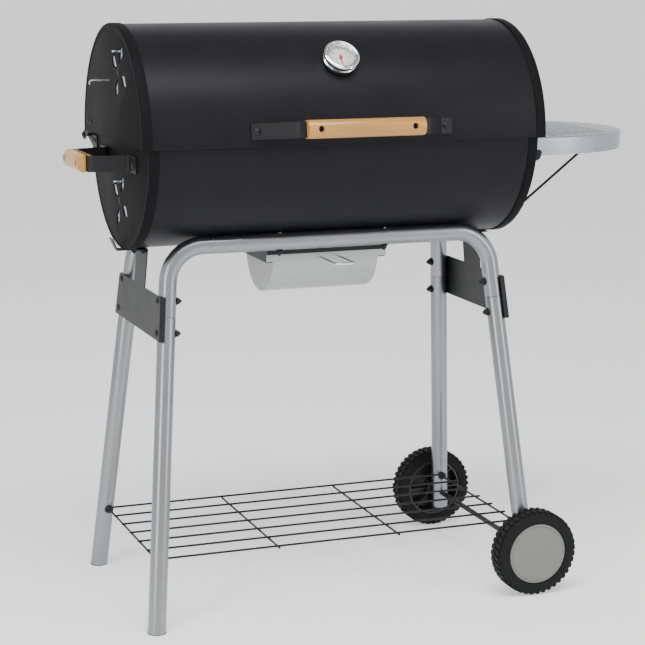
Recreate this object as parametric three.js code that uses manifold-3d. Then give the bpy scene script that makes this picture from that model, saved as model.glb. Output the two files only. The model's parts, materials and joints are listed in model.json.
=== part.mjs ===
// Barrel charcoal grill on a tube trolley: a hinged half-drum lid over a half-drum bowl, two bent
// top tubes with four splayed legs, a wire shelf, two wheels, an ash drawer and a folding side table.
// Millimetres, +Z up, X along the barrel, front of the grill at -Y.

import * as THREE from "three";
import { mergeVertices } from "three/addons/utils/BufferGeometryUtils.js";
import Module from "manifold-3d";

const wasm = await Module();
wasm.setup();

// ---------------------------------------------------------------------------------------------
// Driving dimensions
// ---------------------------------------------------------------------------------------------

const gap = 0.3;                  // air left between pieces that touch
const running = 0.5;              // clearance of a pin in its hole
const sheet = 1.5;                // pressed steel sheet

const axisHeight = 849.6;         // barrel axis above the ground
const bowlRadius = 196;           // outside of the bowl's sheet
const lidAir = 2.5;               // lid's inside over the bowl's outside
const bowlLength = 726.8;
const lidOverhang = 13.6;         // lid ends past the bowl ends
const lidSkirt = 3.6;             // lid edge below the barrel axis
const rimWidth = 18;              // rolled band of each end cap
const drumSides = 28;             // facets of a half circle of the barrel

const tubeRadius = 16;
const tubeWall = 1.5;
const tubeSides = 12;
const barY = 107;                 // top tube from the middle plane
const cornerX = 305;              // where the leg line meets the bar line
const footX = 363;
const footY = 205;
const bendRadius = 90;
const seamDrop = 121.3;           // joint with the lower leg, below the top tube's centre line
const spigotLength = 34;
const wheelLegEnd = 48;           // height of the open ends of the wheel-side legs
const footPad = 1.2;              // flange of a foot plug

const wheelRadius = 80;
const axleInset = 2;              // axle centre inside the legs' centre lines
const wheelY = 235;
const tyreWidth = 41;
const tyreDepth = 23;
const axleRadius = 5;

const shelfHeight = 120;
const shelfWireRadius = 2;
const shelfWireCount = 7;
const shelfMiddleX = [-122, 112]; // middle cross wires
const shelfLegAir = 4.6;          // outer cross wires inside the legs' centre lines
const shelfOverhang = 5.5;        // long wires past the outer cross wires
const shelfWireEnd = 1.5;          // cross wires stick out past the outer long wires

const bracketAbove = 39;          // end plate that ties the legs, above and below the seam
const bracketBelow = 38;
const bracketThickness = 2;
const bracketFlange = 9;
const uprightWidth = 70;
const hookAir = 2.5;              // tool hook past the end plate's upright

const ventRadius = 56;            // shutter disc
const ventPetals = 4;
const ventStart = 26;             // direction of the first petal, degrees from the rear
const petalInner = 15;
const petalOuter = 50;
const petalWide = 37;             // radius at which a petal is widest
const petalHalfWidth = 8;
const shutterTurn = 18;           // degrees from closed to open
const shutterHalfWidth = 6;       // the shutter's own openings are narrower
const shutterTab = { inner: 35, outer: 38, aside: -6.8, foot: 6, reach: 14 };
const lidVentY = -55;
const lidVentRise = 120.4;        // vent centres above and below the barrel axis
const bowlVentDrop = 111.6;
const pegY = 8;                   // wire peg on the left lid end
const pegRise = 101.4;
const pegReach = 36;
const pegRadius = 1.6;

const hingeOut = 12;              // lid pivot behind the lid's outside
const hingeDrop = 13.6;           // lid pivot below the barrel axis
const hingePinRadius = 3.5;
const hingePlate = 2;
const hingeEye = 9;

const strapWidth = 28;
const strapThickness = 3;
const gripDepth = 17;
const gripBack = 7;
const gripWidth = 32;
const lidHandle = { reach: 57, footOuter: 187, footInner: 166, top: 119, grip: 108, x: 2.5, lift: 6.6 };
const sideHandle = { reach: 70, footOuter: 120, footInner: 75, top: 62, grip: 54, drop: 37.6 };

const gaugeLift = 42.6;           // gauge direction above the horizontal, degrees
const gaugeX = -4;
const gaugeRadius = 32;
const gaugeBody = 20;             // height of the case above the lid
const gaugeSeat = 3;              // back of the case above the lid
const gaugeRim = 3.5;
const gaugeBezel = 2.5;           // bezel's crest to the case's bore
const gaugeProbe = 60;

const tableDrop = 7.6;            // top of the table below the barrel axis
const tableHalfWidth = 167;
const tableAir = 3.6;             // between the bowl's end and the table
const tableStraightLength = 33;   // straight part next to the bowl
const tableRoundLength = 218;     // rounded end
const tableDepth = 33;            // height of the folded edge
const tableFullness = 2.2;        // exponent of the rounded end's outline
const tipCut = { start: 46, length: 42, height: 26 };
const ribCount = 8;
const ribPitch = 17.5;
const ribWidth = 3;
const ribHeight = 1.2;
const ribInset = 72;              // outermost rib from the table's tip
const tablePivot = { out: 16.6, drop: 28 };
const tablePinRadius = 3;

const strutPivot = { out: 6.6, y: 100, drop: 146.1 };
const strutSeat = { out: 175, y: 80, drop: 16 };
const strutRadius = 2.5;

const cookGrateDrop = 9.6;        // underside of the cooking grates below the barrel axis
const coalGrateDrop = 137.6;      // underside of the charcoal grate below the barrel axis
const grateThickness = 4;
const ledge = 2;
const ashMouth = { x: 90, y: 55 };// half sizes of the opening in the bowl's floor

const ashRadius = 77;
const ashAxisDrop = 15.6;         // heights of the drawer below the bowl's lowest point
const ashHalfLength = 102;
const ashWall = 1.2;
const ashTopDrop = 27.6;          // underside of the drawer's side flanges
const ashFlange = 10;
const ashFrontY = 81;
const ashFrontDrop = 15.1;
const ashFrontHalf = 116;
const railX = 115.5;              // outside of the rail frame
const railFrontY = 85;
const railLip = 11.5;
const ashPull = { half: 17, reach: 94, drop: 22.6, radius: 2 };

// ---------------------------------------------------------------------------------------------
// Values that follow from them
// ---------------------------------------------------------------------------------------------

const bowlHalf = bowlLength / 2;
const lidHalf = bowlHalf + lidOverhang;
const lidRadius = bowlRadius + lidAir + sheet;
const barHeight = axisHeight - Math.sqrt((bowlRadius + tubeRadius + gap) ** 2 - barY ** 2);
const leanX = (footX - cornerX) / barHeight;
const leanY = (footY - barY) / barHeight;
const hingeY = lidRadius + hingeOut;
const hingeZ = axisHeight - hingeDrop;
const seamHeight = barHeight - seamDrop;
const bracketTop = seamHeight + bracketAbove;
const bracketBottom = seamHeight - bracketBelow;
const wheelX = footX - leanX * wheelRadius - axleInset;
const shelfCrossEnd = footX - leanX * shelfHeight - shelfLegAir;
const shelfCrossX = [-shelfCrossEnd, ...shelfMiddleX, shelfCrossEnd];
const shelfHalfLength = shelfCrossEnd + shelfOverhang;
const shelfReach = footY - leanY * shelfHeight - tubeRadius - 6 * gap;
const shelfHalfWidth = shelfReach - shelfWireEnd;
const lidVent = { y: lidVentY, z: axisHeight + lidVentRise };
const bowlVent = { y: 0, z: axisHeight - bowlVentDrop };
const gaugeBore = gaugeRadius - gaugeRim - gaugeBezel;
const tableTop = axisHeight - tableDrop;
const tableBack = bowlHalf + tableAir;
const tableStraight = tableBack + tableStraightLength;
const tableTip = tableStraight + tableRoundLength;
const tableHinge = { x: bowlHalf + tablePivot.out, z: tableTop - tablePivot.drop };
const strutFoot = { x: bowlHalf + strutPivot.out, y: strutPivot.y, z: axisHeight - strutPivot.drop };
const strutHead = { x: tableBack + strutSeat.out, y: strutSeat.y, z: tableTop - strutSeat.drop };
const cookGrateHeight = axisHeight - cookGrateDrop;
const coalGrateHeight = axisHeight - coalGrateDrop;
const bowlFloor = axisHeight - bowlRadius;
const ashAxisHeight = bowlFloor - ashAxisDrop;
const ashTop = bowlFloor - ashTopDrop;
const ashFrontTop = bowlFloor - ashFrontDrop;
const degree = Math.PI / 180;

const X = new THREE.Vector3(1, 0, 0);
const Y = new THREE.Vector3(0, 1, 0);
const Z = new THREE.Vector3(0, 0, 1);

// ---------------------------------------------------------------------------------------------
// Finishes
// ---------------------------------------------------------------------------------------------

const finishes = {
  enamel: { color: 0x1b1b20, roughness: 0.38, metalness: 0.25 },
  endEnamel: { color: 0x2b2929, roughness: 0.55, metalness: 0.2 },
  blackSteel: { color: 0x19191b, roughness: 0.5, metalness: 0.3 },
  silver: { color: 0xa9acae, roughness: 0.35, metalness: 0.7 },
  galvanised: { color: 0x9aa1a6, roughness: 0.4, metalness: 0.8 },
  ashGrey: { color: 0xb2b3b3, roughness: 0.45, metalness: 0.4 },
  wood: { color: 0xc98d58, roughness: 0.45, metalness: 0 },
  rubber: { color: 0x161616, roughness: 0.85, metalness: 0 },
  plastic: { color: 0x1d1d1e, roughness: 0.55, metalness: 0 },
  greyPlastic: { color: 0x8e9294, roughness: 0.4, metalness: 0.1 },
  chrome: { color: 0xd8dadc, roughness: 0.12, metalness: 1 },
  dial: { color: 0xe9e9e4, roughness: 0.6, metalness: 0 },
  red: { color: 0xb3261e, roughness: 0.5, metalness: 0 },
  glass: { color: 0xf2f6f7, roughness: 0.05, metalness: 0 },
};

// ---------------------------------------------------------------------------------------------
// Small tools: outlines, extrusions, sweeps and booleans
// ---------------------------------------------------------------------------------------------

/** Points of an arc about (cx, cy), angles in degrees. */
function arc(cx, cy, radius, from, to, steps) {
  const points = [];
  for (let i = 0; i <= steps; i += 1) {
    const a = (from + ((to - from) * i) / steps) * degree;
    points.push(new THREE.Vector2(cx + radius * Math.cos(a), cy + radius * Math.sin(a)));
  }
  return points;
}

/** Corner points from plain pairs. */
function corners(...pairs) {
  return pairs.map(([a, b]) => new THREE.Vector2(a, b));
}

function outline(points, holes = []) {
  const shape = new THREE.Shape(points);
  shape.holes = holes.map((hole) => new THREE.Path(hole));
  return shape;
}

function circle(radius, sides = tubeSides, cx = 0, cy = 0) {
  return arc(cx, cy, radius, 0, 360 - 360 / sides, sides - 1);
}

/** Outline of a bent strip: a centre-side polyline and its mitred offset by a thickness. */
function strip(points, thickness) {
  const offset = points.map((p, i) => {
    const before = points[Math.max(i - 1, 0)];
    const after = points[Math.min(i + 1, points.length - 1)];
    const inward = i === 0 ? after.clone().sub(p) : p.clone().sub(before);
    const onward = i === points.length - 1 ? inward.clone() : after.clone().sub(p);
    const n1 = new THREE.Vector2(-inward.y, inward.x).normalize();
    const n2 = new THREE.Vector2(-onward.y, onward.x).normalize();
    const mitre = n1.clone().add(n2).normalize();
    return p.clone().add(mitre.multiplyScalar(thickness / mitre.dot(n1)));
  });
  return outline([...points, ...offset.reverse()]);
}

function extrude(shape, depth) {
  return new THREE.ExtrudeGeometry(shape, { depth, bevelEnabled: false, curveSegments: 1 });
}

/** Outline given in (y, z), extruded from x0 to x1. */
function alongX(shape, x0, x1) {
  const geometry = extrude(shape, x1 - x0);
  geometry.applyMatrix4(new THREE.Matrix4().makeBasis(Y, Z, X));
  return geometry.translate(x0, 0, 0);
}

/** Outline given in (x, z), extruded from y0 to y1. */
function alongY(shape, y0, y1) {
  const geometry = extrude(shape, y1 - y0);
  geometry.applyMatrix4(new THREE.Matrix4().makeBasis(X, Z, Y.clone().negate()));
  return geometry.translate(0, y1, 0);
}

/** Outline given in (x, y), extruded from z0 to z1. */
function alongZ(shape, z0, z1) {
  return extrude(shape, z1 - z0).translate(0, 0, z0);
}

function box(x0, x1, y0, y1, z0, z1) {
  const geometry = new THREE.BoxGeometry(x1 - x0, y1 - y0, z1 - z0);
  return geometry.translate((x0 + x1) / 2, (y0 + y1) / 2, (z0 + z1) / 2);
}

/** Closed profile of (radius, height) points turned about the local Y axis. */
function revolve(profile, sides = tubeSides) {
  return new THREE.LatheGeometry(profile, sides);
}

function rod(from, to, radius, sides = tubeSides) {
  const length = from.distanceTo(to);
  const geometry = new THREE.CylinderGeometry(radius, radius, length, sides);
  return pointAlong(geometry.translate(0, length / 2, 0), from, to);
}

/** Turns a shape built along +Y from the origin so that it runs from one point towards another. */
function pointAlong(geometry, from, to) {
  const direction = to.clone().sub(from).normalize();
  geometry.applyQuaternion(new THREE.Quaternion().setFromUnitVectors(Y, direction));
  return geometry.translate(from.x, from.y, from.z);
}

/** A path through given knots, one extrusion step per knot, so straights stay one step long. */
class KnotPath extends THREE.Curve {
  constructor(knots) {
    super();
    this.knots = knots;
  }

  get steps() {
    return this.knots.length - 1;
  }

  getPoint(t) {
    return this.knots[Math.round(t * this.steps)].clone();
  }

  getPointAt(t) {
    return this.getPoint(t);
  }

  getTangentAt(t) {
    const i = Math.round(t * this.steps);
    const before = this.knots[Math.max(i - 1, 0)];
    const after = this.knots[Math.min(i + 1, this.steps)];
    const inward = this.knots[i].clone().sub(before).normalize();
    const onward = after.clone().sub(this.knots[i]).normalize();
    return inward.add(onward).normalize();
  }
}

/** Rounds the inner corners of a polyline into arcs of the given bend radius. */
function roundedKnots(points, radius, steps = 6) {
  const knots = [points[0]];
  for (let i = 1; i < points.length - 1; i += 1) {
    const back = points[i - 1].clone().sub(points[i]).normalize();
    const ahead = points[i + 1].clone().sub(points[i]).normalize();
    const half = back.angleTo(ahead) / 2;
    const reach = radius / Math.tan(half);
    const bisector = back.clone().add(ahead).normalize();
    const centre = points[i].clone().addScaledVector(bisector, radius / Math.sin(half));
    const start = points[i].clone().addScaledVector(back, reach).sub(centre);
    const axis = back.clone().negate().cross(ahead).normalize();
    const sweepAngle = Math.PI - 2 * half;
    for (let k = 0; k <= steps; k += 1) {
      knots.push(start.clone().applyAxisAngle(axis, (sweepAngle * k) / steps).add(centre));
    }
  }
  knots.push(points[points.length - 1]);
  return knots;
}

function sweep(section, knots) {
  const path = new KnotPath(knots);
  return new THREE.ExtrudeGeometry(section, { steps: path.steps, extrudePath: path, curveSegments: 1 });
}

/** Leaves only positions, joins shared vertices, and turns the faces outwards. */
function closed(geometry) {
  const bare = geometry.clone();
  bare.deleteAttribute("normal");
  bare.deleteAttribute("uv");
  const merged = mergeVertices(bare, 1e-3);
  const kept = dropSlivers(merged.index.array);
  if (signedVolume(merged.attributes.position, kept) < 0) {
    kept.reverse();
  }
  merged.setIndex(kept);
  return merged;
}

/** Triangle indices without those that have two corners in one place. */
function dropSlivers(index) {
  const kept = [];
  for (let i = 0; i < index.length; i += 3) {
    const [a, b, c] = [index[i], index[i + 1], index[i + 2]];
    if (a !== b && b !== c && c !== a) {
      kept.push(a, b, c);
    }
  }
  return kept;
}

function signedVolume(position, index) {
  const [a, b, c] = [new THREE.Vector3(), new THREE.Vector3(), new THREE.Vector3()];
  let volume = 0;
  for (let i = 0; i < index.length; i += 3) {
    a.fromBufferAttribute(position, index[i]);
    b.fromBufferAttribute(position, index[i + 1]);
    c.fromBufferAttribute(position, index[i + 2]);
    volume += a.dot(b.cross(c)) / 6;
  }
  return volume;
}

function toManifold(geometry) {
  const tidy = closed(geometry);
  const mesh = new wasm.Mesh({
    numProp: 3,
    vertProperties: new Float32Array(tidy.attributes.position.array),
    triVerts: new Uint32Array(tidy.index.array),
  });
  return new wasm.Manifold(mesh);
}

function toGeometry(manifold) {
  const mesh = manifold.getMesh();
  const geometry = new THREE.BufferGeometry();
  geometry.setAttribute("position", new THREE.BufferAttribute(new Float32Array(mesh.vertProperties), 3));
  geometry.setIndex(new THREE.BufferAttribute(new Uint32Array(mesh.triVerts), 1));
  return geometry;
}

function join(...geometries) {
  return toGeometry(geometries.map(toManifold).reduce((sum, next) => sum.add(next)));
}

function cut(geometry, ...tools) {
  return toGeometry(tools.map(toManifold).reduce((left, tool) => left.subtract(tool), toManifold(geometry)));
}

// ---------------------------------------------------------------------------------------------
// The assembly
// ---------------------------------------------------------------------------------------------

const grill = new THREE.Group();

function add(name, geometry, finish, place) {
  const material = new THREE.MeshStandardMaterial(finishes[finish]);
  const mesh = new THREE.Mesh(closed(geometry), material);
  mesh.name = name;
  if (place) {
    mesh.applyMatrix4(place);
  }
  grill.add(mesh);
}

/** Centre line of a leg at a height, for the side (+1 right, -1 left) and row (+1 rear, -1 front). */
function legPoint(side, row, z) {
  return new THREE.Vector3(side * (footX - leanX * z), row * (footY - leanY * z), z);
}

const sides = [["left", -1], ["right", 1]];
const rows = [["front", -1], ["rear", 1]];

// --- tube frame ------------------------------------------------------------------------------

function topTube(row) {
  const line = [
    legPoint(-1, row, seamHeight + gap),
    legPoint(-1, row, barHeight),
    legPoint(1, row, barHeight),
    legPoint(1, row, seamHeight + gap),
  ];
  const section = outline(circle(tubeRadius), [circle(tubeRadius - tubeWall)]);
  return sweep(section, roundedKnots(line, bendRadius, 6));
}

/** Lower leg with its reduced spigot, flat at the foot; wheel-side legs carry the axle hole. */
function lowerLeg(side, row) {
  const foot = side < 0 ? footPad + gap : wheelLegEnd;
  const overrun = 8;
  const bottom = legPoint(side, row, foot - overrun);
  const seam = legPoint(side, row, seamHeight);
  const length = bottom.distanceTo(seam);
  const inner = tubeRadius - tubeWall;
  const spigot = inner - 1.4 * running;
  const profile = corners(
    [spigot - tubeWall, length - tubeWall],
    [inner, length - 4 * tubeWall],
    [inner, 0],
    [tubeRadius, 0],
    [tubeRadius, length],
    [spigot, length],
    [spigot, length + spigotLength],
    [spigot - tubeWall, length + spigotLength],
    [spigot - tubeWall, length - tubeWall],
  );
  const tube = pointAlong(revolve(profile), bottom, seam);
  const reach = 3 * tubeRadius;
  const { x, y } = bottom;
  const below = box(x - reach, x + reach, y - reach, y + reach, foot - reach, foot);
  if (side < 0) {
    return cut(tube, below);
  }
  return cut(tube, below, axleLine(axleRadius + running));
}

function axleLine(radius) {
  const end = wheelY + tyreWidth / 2 - 6;
  const from = new THREE.Vector3(wheelX, -end, wheelRadius);
  return rod(from, from.clone().setY(end), radius, 12);
}

function footPlug(row) {
  const top = legPoint(-1, row, 26);
  const foot = legPoint(-1, row, -2);
  const body = rod(foot, top, tubeRadius - tubeWall - 2 * running, 12);
  const base = legPoint(-1, row, 0);
  const pad = new THREE.CylinderGeometry(tubeRadius + 0.6, tubeRadius + 0.6, footPad, tubeSides);
  pad.rotateX(Math.PI / 2).translate(base.x, base.y, footPad / 2);
  const reach = 3 * tubeRadius;
  const below = box(foot.x - reach, foot.x + reach, foot.y - reach, foot.y + reach, -reach, 0);
  return cut(join(body, pad), below);
}

for (const [rowName, row] of rows) {
  add(`top_tube_${rowName}`, topTube(row), "silver");
  add(`foot_plug_${rowName}`, footPlug(row), "plastic");
  for (const [sideName, side] of sides) {
    add(`leg_${rowName}_${sideName}`, lowerLeg(side, row), "silver");
  }
}
add("axle", axleLine(axleRadius), "blackSteel");

// --- end plates that tie each pair of legs and hold the barrel --------------------------------

/** Plate in the leaning plane of the legs, with folded edges and an upright to the barrel. */
function endBracket(side) {
  const tilt = Math.atan(leanX);
  const inner = footX * Math.cos(tilt) + tubeRadius + gap;
  const outer = inner + bracketThickness;
  const along = (z) => (z - inner * Math.sin(tilt)) / Math.cos(tilt);
  const edge = (z) => footY - leanY * z + tubeRadius + gap;
  const [low, high] = [bracketBottom, bracketTop];
  const weld = bracketThickness / 2;
  const plate = outline(corners(
    [-edge(low) - weld, along(low)],
    [edge(low) + weld, along(low)],
    [edge(high) + weld, along(high)],
    [uprightWidth / 2, along(high)],
    [uprightWidth / 2, along(flangeTop())],
    [-uprightWidth / 2, along(flangeTop())],
    [-uprightWidth / 2, along(high)],
    [-edge(high) - weld, along(high)],
  ));
  const pieces = [alongX(plate, inner, outer)];
  for (const row of [-1, 1]) {
    const fold = outline(corners(
      [row * edge(low), along(low)],
      [row * (edge(low) + bracketThickness), along(low)],
      [row * (edge(high) + bracketThickness), along(high)],
      [row * edge(high), along(high)],
    ));
    pieces.push(alongX(fold, outer - bracketFlange, outer));
  }
  const leaning = join(...pieces);
  leaning.applyMatrix4(new THREE.Matrix4().makeRotationY(-tilt));
  const flangeX = inner / Math.cos(tilt) - leanX * flangeTop();
  const half = uprightWidth / 2;
  const flangeEnd = bowlHalf - rimWidth - 1;
  const shelf = box(flangeX, flangeEnd, -half, half, flangeTop() - bracketThickness, flangeTop());
  const whole = cut(join(leaning, shelf), box(0, 500, -half - 1, half + 1, flangeTop(), flangeTop() + 20));
  return side > 0 ? whole : whole.applyMatrix4(new THREE.Matrix4().makeScale(-1, 1, 1));
}

/** Height of the brackets' top flanges, just under the bowl. */
function flangeTop() {
  return axisHeight - bowlRadius - gap;
}

for (const [sideName, side] of sides) {
  add(`end_bracket_${sideName}`, endBracket(side), "blackSteel");
}

/** Flat hook for tools, under the left flange and turned up past the end of the barrel. */
function toolHook() {
  const top = flangeTop() - bracketThickness - gap;
  const thickness = 2.4;
  const bend = bowlHalf + 9;
  const plateFace = footX + (tubeRadius + gap + bracketThickness) / Math.cos(Math.atan(leanX));
  const start = plateFace - leanX * (top - thickness) + hookAir;
  const path = corners(
    [-start, top - thickness],
    [-bend, top - thickness],
    [-(bend + 10), top + 19],
  );
  return alongY(strip(path.reverse(), thickness), -10, 10);
}

add("tool_hook", toolHook(), "blackSteel");

// --- wire shelf ------------------------------------------------------------------------------

function wireShelf() {
  const wireSides = 6;
  const wires = [];
  for (let i = 0; i < shelfWireCount; i += 1) {
    const y = -shelfHalfWidth + (2 * shelfHalfWidth * i) / (shelfWireCount - 1);
    const from = new THREE.Vector3(-shelfHalfLength, y, shelfHeight);
    wires.push(rod(from, from.clone().setX(shelfHalfLength), shelfWireRadius, wireSides));
  }
  const reach = shelfReach;
  const crossZ = shelfHeight - 1.7 * shelfWireRadius;
  for (const x of shelfCrossX) {
    const from = new THREE.Vector3(x, -reach, crossZ);
    wires.push(rod(from, from.clone().setY(reach), shelfWireRadius, wireSides));
  }
  const tab = 7;
  for (const x of [shelfCrossX[0], shelfCrossX[shelfCrossX.length - 1]]) {
    for (const row of [-1, 1]) {
      const [y0, y1] = [row * (reach - sheet), row * reach].sort((a, b) => a - b);
      wires.push(box(x - tab, x + tab, y0, y1, crossZ - tab, crossZ + tab));
    }
  }
  return join(...wires);
}

add("wire_shelf", wireShelf(), "blackSteel");

// --- wheels ----------------------------------------------------------------------------------

/** Hub, dished web and rim, closed towards the outside by the hubcap. */
function wheelBody() {
  const rim = wheelRadius - tyreDepth - 2 * gap;
  const half = tyreWidth / 2;
  const bore = axleRadius + running;
  const profile = corners(
    [bore, -half], [14, -half], [16, 4], [rim - 6, 6], [rim - 4, -half + 3], [rim, -half + 3],
    [rim, half - 3], [rim - 4, half - 3], [rim - 6, 9], [14, 9], [12, half - 7], [bore, half - 7],
    [bore, -half],
  );
  return revolve(profile, 16);
}

function tyre() {
  const bead = wheelRadius - tyreDepth;
  const half = tyreWidth / 2;
  const profile = corners(
    [bead, -half + 2], [bead + 4, -half], [wheelRadius - 7, -half + 1], [wheelRadius, -half + 8],
    [wheelRadius, half - 8], [wheelRadius - 7, half - 1], [bead + 4, half], [bead, half - 2],
    [bead, -half + 2],
  );
  return revolve(profile, 28);
}

function hubcap() {
  const half = tyreWidth / 2;
  const rim = wheelRadius - tyreDepth - 1;
  const profile = corners(
    [0, half - 5], [rim, half - 2.5], [rim, half - 1.5], [rim - 6, half + 0.6], [0, half + 2],
  );
  return revolve(profile, 24);
}

for (const [rowName, row] of rows) {
  const place = new THREE.Matrix4().makeTranslation(wheelX, row * wheelY, wheelRadius);
  if (row < 0) {
    place.multiply(new THREE.Matrix4().makeRotationZ(Math.PI));
  }
  add(`wheel_${rowName}`, wheelBody(), "plastic", place);
  add(`tyre_${rowName}`, tyre(), "rubber", place);
  add(`hubcap_${rowName}`, hubcap(), "greyPlastic", place);
}

// --- barrel shells ---------------------------------------------------------------------------

/** Band of a circle about the barrel axis, in (y, z). */
function drumBand(outer, inner, from, to) {
  const ring = [
    ...arc(0, axisHeight, outer, from, to, drumSides),
    ...arc(0, axisHeight, inner, to, from, drumSides),
  ];
  return outline(ring);
}

/** Angle by which the lid's edge lies below the barrel axis at a radius. */
function skirtAngle(radius) {
  return Math.asin(lidSkirt / radius) / degree;
}

/** Four-sided petal, drawn out along a direction from the vent's centre, in (y, z). */
function petal(vent, direction, halfWidth) {
  const along = new THREE.Vector2(Math.cos(direction * degree), Math.sin(direction * degree));
  const across = new THREE.Vector2(-along.y, along.x);
  const at = (radius, side) =>
    new THREE.Vector2(vent.y, vent.z).addScaledVector(along, radius).addScaledVector(across, side);
  return [
    at(petalInner, 0),
    at(petalWide, -halfWidth),
    at(petalOuter, 0),
    at(petalWide, halfWidth),
  ];
}

function petals(vent, turn, halfWidth) {
  const direction = (i) => ventStart + turn + (360 * i) / ventPetals;
  return Array.from({ length: ventPetals }, (_, i) => petal(vent, direction(i), halfWidth));
}

function ventBore(vent) {
  return circle(3.5, 12, vent.y, vent.z);
}

function bowlShell() {
  const shell = alongX(drumBand(bowlRadius, bowlRadius - sheet, 180, 360), -bowlHalf + sheet + gap,
    bowlHalf - sheet - gap);
  return cut(shell, box(-ashMouth.x, ashMouth.x, -ashMouth.y, ashMouth.y, bowlFloor - 5, bowlFloor + 60));
}

/** Half-round end cap, open on one side of the axis, with a band that wraps the shell. */
function endCap(radius, half, from, to, side, holes) {
  const outer = radius + gap + sheet;
  const plate = outline(arc(0, axisHeight, outer, from, to, drumSides), holes);
  const band = drumBand(outer, radius + gap, from, to);
  const cap = join(alongX(plate, half - sheet, half), alongX(band, half - rimWidth, half - sheet / 2));
  return side > 0 ? cap : cap.applyMatrix4(new THREE.Matrix4().makeScale(-1, 1, 1));
}

function bowlEnd(side) {
  const holes = side < 0 ? [...petals(bowlVent, 0, petalHalfWidth), ventBore(bowlVent)] : [];
  return endCap(bowlRadius, bowlHalf, 180, 360, side, holes);
}

function lidShell() {
  const skirt = skirtAngle(lidRadius);
  const shell = drumBand(lidRadius, lidRadius - sheet, -skirt, 180 + skirt);
  const half = lidHalf - sheet - gap;
  const gauge = gaugeFrame();
  const stemHole = rod(gaugePoint(gauge, -30), gaugePoint(gauge, 20), 7, 12);
  return cut(alongX(shell, -half, half), stemHole);
}

function lidEnd(side) {
  const skirt = skirtAngle(lidRadius + gap + sheet);
  const holes = side < 0 ? [...petals(lidVent, 0, petalHalfWidth), ventBore(lidVent)] : [];
  return endCap(lidRadius, lidHalf, -skirt, 180 + skirt, side, holes);
}

/** Shutter disc behind an end cap, its openings turned away from the petals, with a finger tab. */
function shutter(vent, half) {
  const face = -half + sheet + gap;
  const thickness = 1.2;
  const holes = [...petals(vent, -shutterTurn, shutterHalfWidth), ventBore(vent)];
  const disc = outline(circle(ventRadius, 28, vent.y, vent.z), holes);
  const direction = (ventStart + 90) * degree;
  const { inner, outer, aside, foot, reach } = shutterTab;
  const turned = new THREE.Matrix4().makeRotationX(direction).setPosition(0, vent.y, vent.z);
  const finger = box(-half - reach, face + thickness / 2, inner, outer, aside, aside + sheet);
  const bridge = box(face, face + thickness, inner, outer, aside, aside + foot);
  const tab = join(finger, bridge).applyMatrix4(turned);
  return join(alongX(disc, face, face + thickness), tab);
}

/** Shouldered rivet that carries a shutter. */
function ventPin(half) {
  const face = -half;
  const stack = sheet + gap + 1.2;
  const profile = corners(
    [0, -2.6], [4.5, -1.9], [6.2, -gap], [3, -gap], [3, stack + gap], [6.2, stack + gap],
    [6.2, stack + 2.4], [0, stack + 2.4],
  );
  return revolve(profile, 12).rotateZ(-Math.PI / 2).translate(face, 0, 0);
}

add("bowl_shell", bowlShell(), "enamel");
add("lid_shell", lidShell(), "enamel");
for (const [sideName, side] of sides) {
  add(`bowl_end_${sideName}`, bowlEnd(side), "endEnamel");
  add(`lid_end_${sideName}`, lidEnd(side), "endEnamel");
}
add("bowl_shutter", shutter(bowlVent, bowlHalf), "galvanised");
add("lid_shutter", shutter(lidVent, lidHalf), "galvanised");
add("bowl_shutter_pin", ventPin(bowlHalf).translate(0, bowlVent.y, bowlVent.z), "blackSteel");
add("lid_shutter_pin", ventPin(lidHalf).translate(0, lidVent.y, lidVent.z), "blackSteel");

/** Short wire peg out of the left lid end, its tip turned down. */
function lidPeg() {
  const from = new THREE.Vector3(-lidHalf - gap, pegY, axisHeight + pegRise);
  const bend = from.clone().setX(-lidHalf - pegReach);
  const tip = bend.clone().add(new THREE.Vector3(0, 0, -7));
  return sweep(outline(circle(pegRadius, 8)), roundedKnots([from, bend, tip], 2 * pegRadius, 3));
}

add("lid_peg", lidPeg(), "galvanised");

// --- lid hinges ------------------------------------------------------------------------------

/** Plate on the bowl's end with the pivot pin riveted in it. */
function hingeBracket(side) {
  const inner = bowlHalf + gap;
  const plateTop = axisHeight - lidSkirt - 3;
  const eye = arc(hingeY, hingeZ, hingeEye - 1, 80, -90, 6);
  const at = (back, up) => [hingeY - back, hingeZ + up];
  const upper = corners(at(57, -19), at(57, 2), [hingeY - hingeOut, plateTop]);
  const plate = outline([...upper, ...eye, ...corners(at(30, -19))]);
  const pinEnd = lidHalf - sheet;
  const head = new THREE.Vector3(pinEnd + 1.8, hingeY, hingeZ);
  const start = new THREE.Vector3(inner, hingeY, hingeZ);
  const neck = new THREE.Vector3(pinEnd, hingeY, hingeZ);
  const piece = join(
    alongX(plate, inner, inner + hingePlate),
    rod(start, neck, hingePinRadius, 12),
    rod(neck.clone().setX(pinEnd - 0.01), head, hingePinRadius + 2.5, 12),
  );
  return side > 0 ? piece : piece.applyMatrix4(new THREE.Matrix4().makeScale(-1, 1, 1));
}

/** Ear inside the lid's end cap that hangs on the pivot pin. */
function lidEar(side) {
  const outer = lidHalf - sheet - gap;
  const under = axisHeight - lidSkirt - gap;
  const bore = circle(hingePinRadius + running, 12, hingeY, hingeZ);
  const eye = arc(hingeY, hingeZ, hingeEye, 80, -120, 8);
  const at = (back, up) => [hingeY - back, hingeZ + up];
  const low = under - gap;
  const neck = [[hingeY - 19, low], [hingeY - 3, low]];
  const upper = corners(at(72, 14), at(72, 40), at(44, 40), at(22, 24), ...neck);
  const plate = outline([...upper, ...eye, ...corners(at(22, 2), at(40, 14))], [bore]);
  const piece = alongX(plate, outer - hingePlate, outer);
  return side > 0 ? piece : piece.applyMatrix4(new THREE.Matrix4().makeScale(-1, 1, 1));
}

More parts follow.
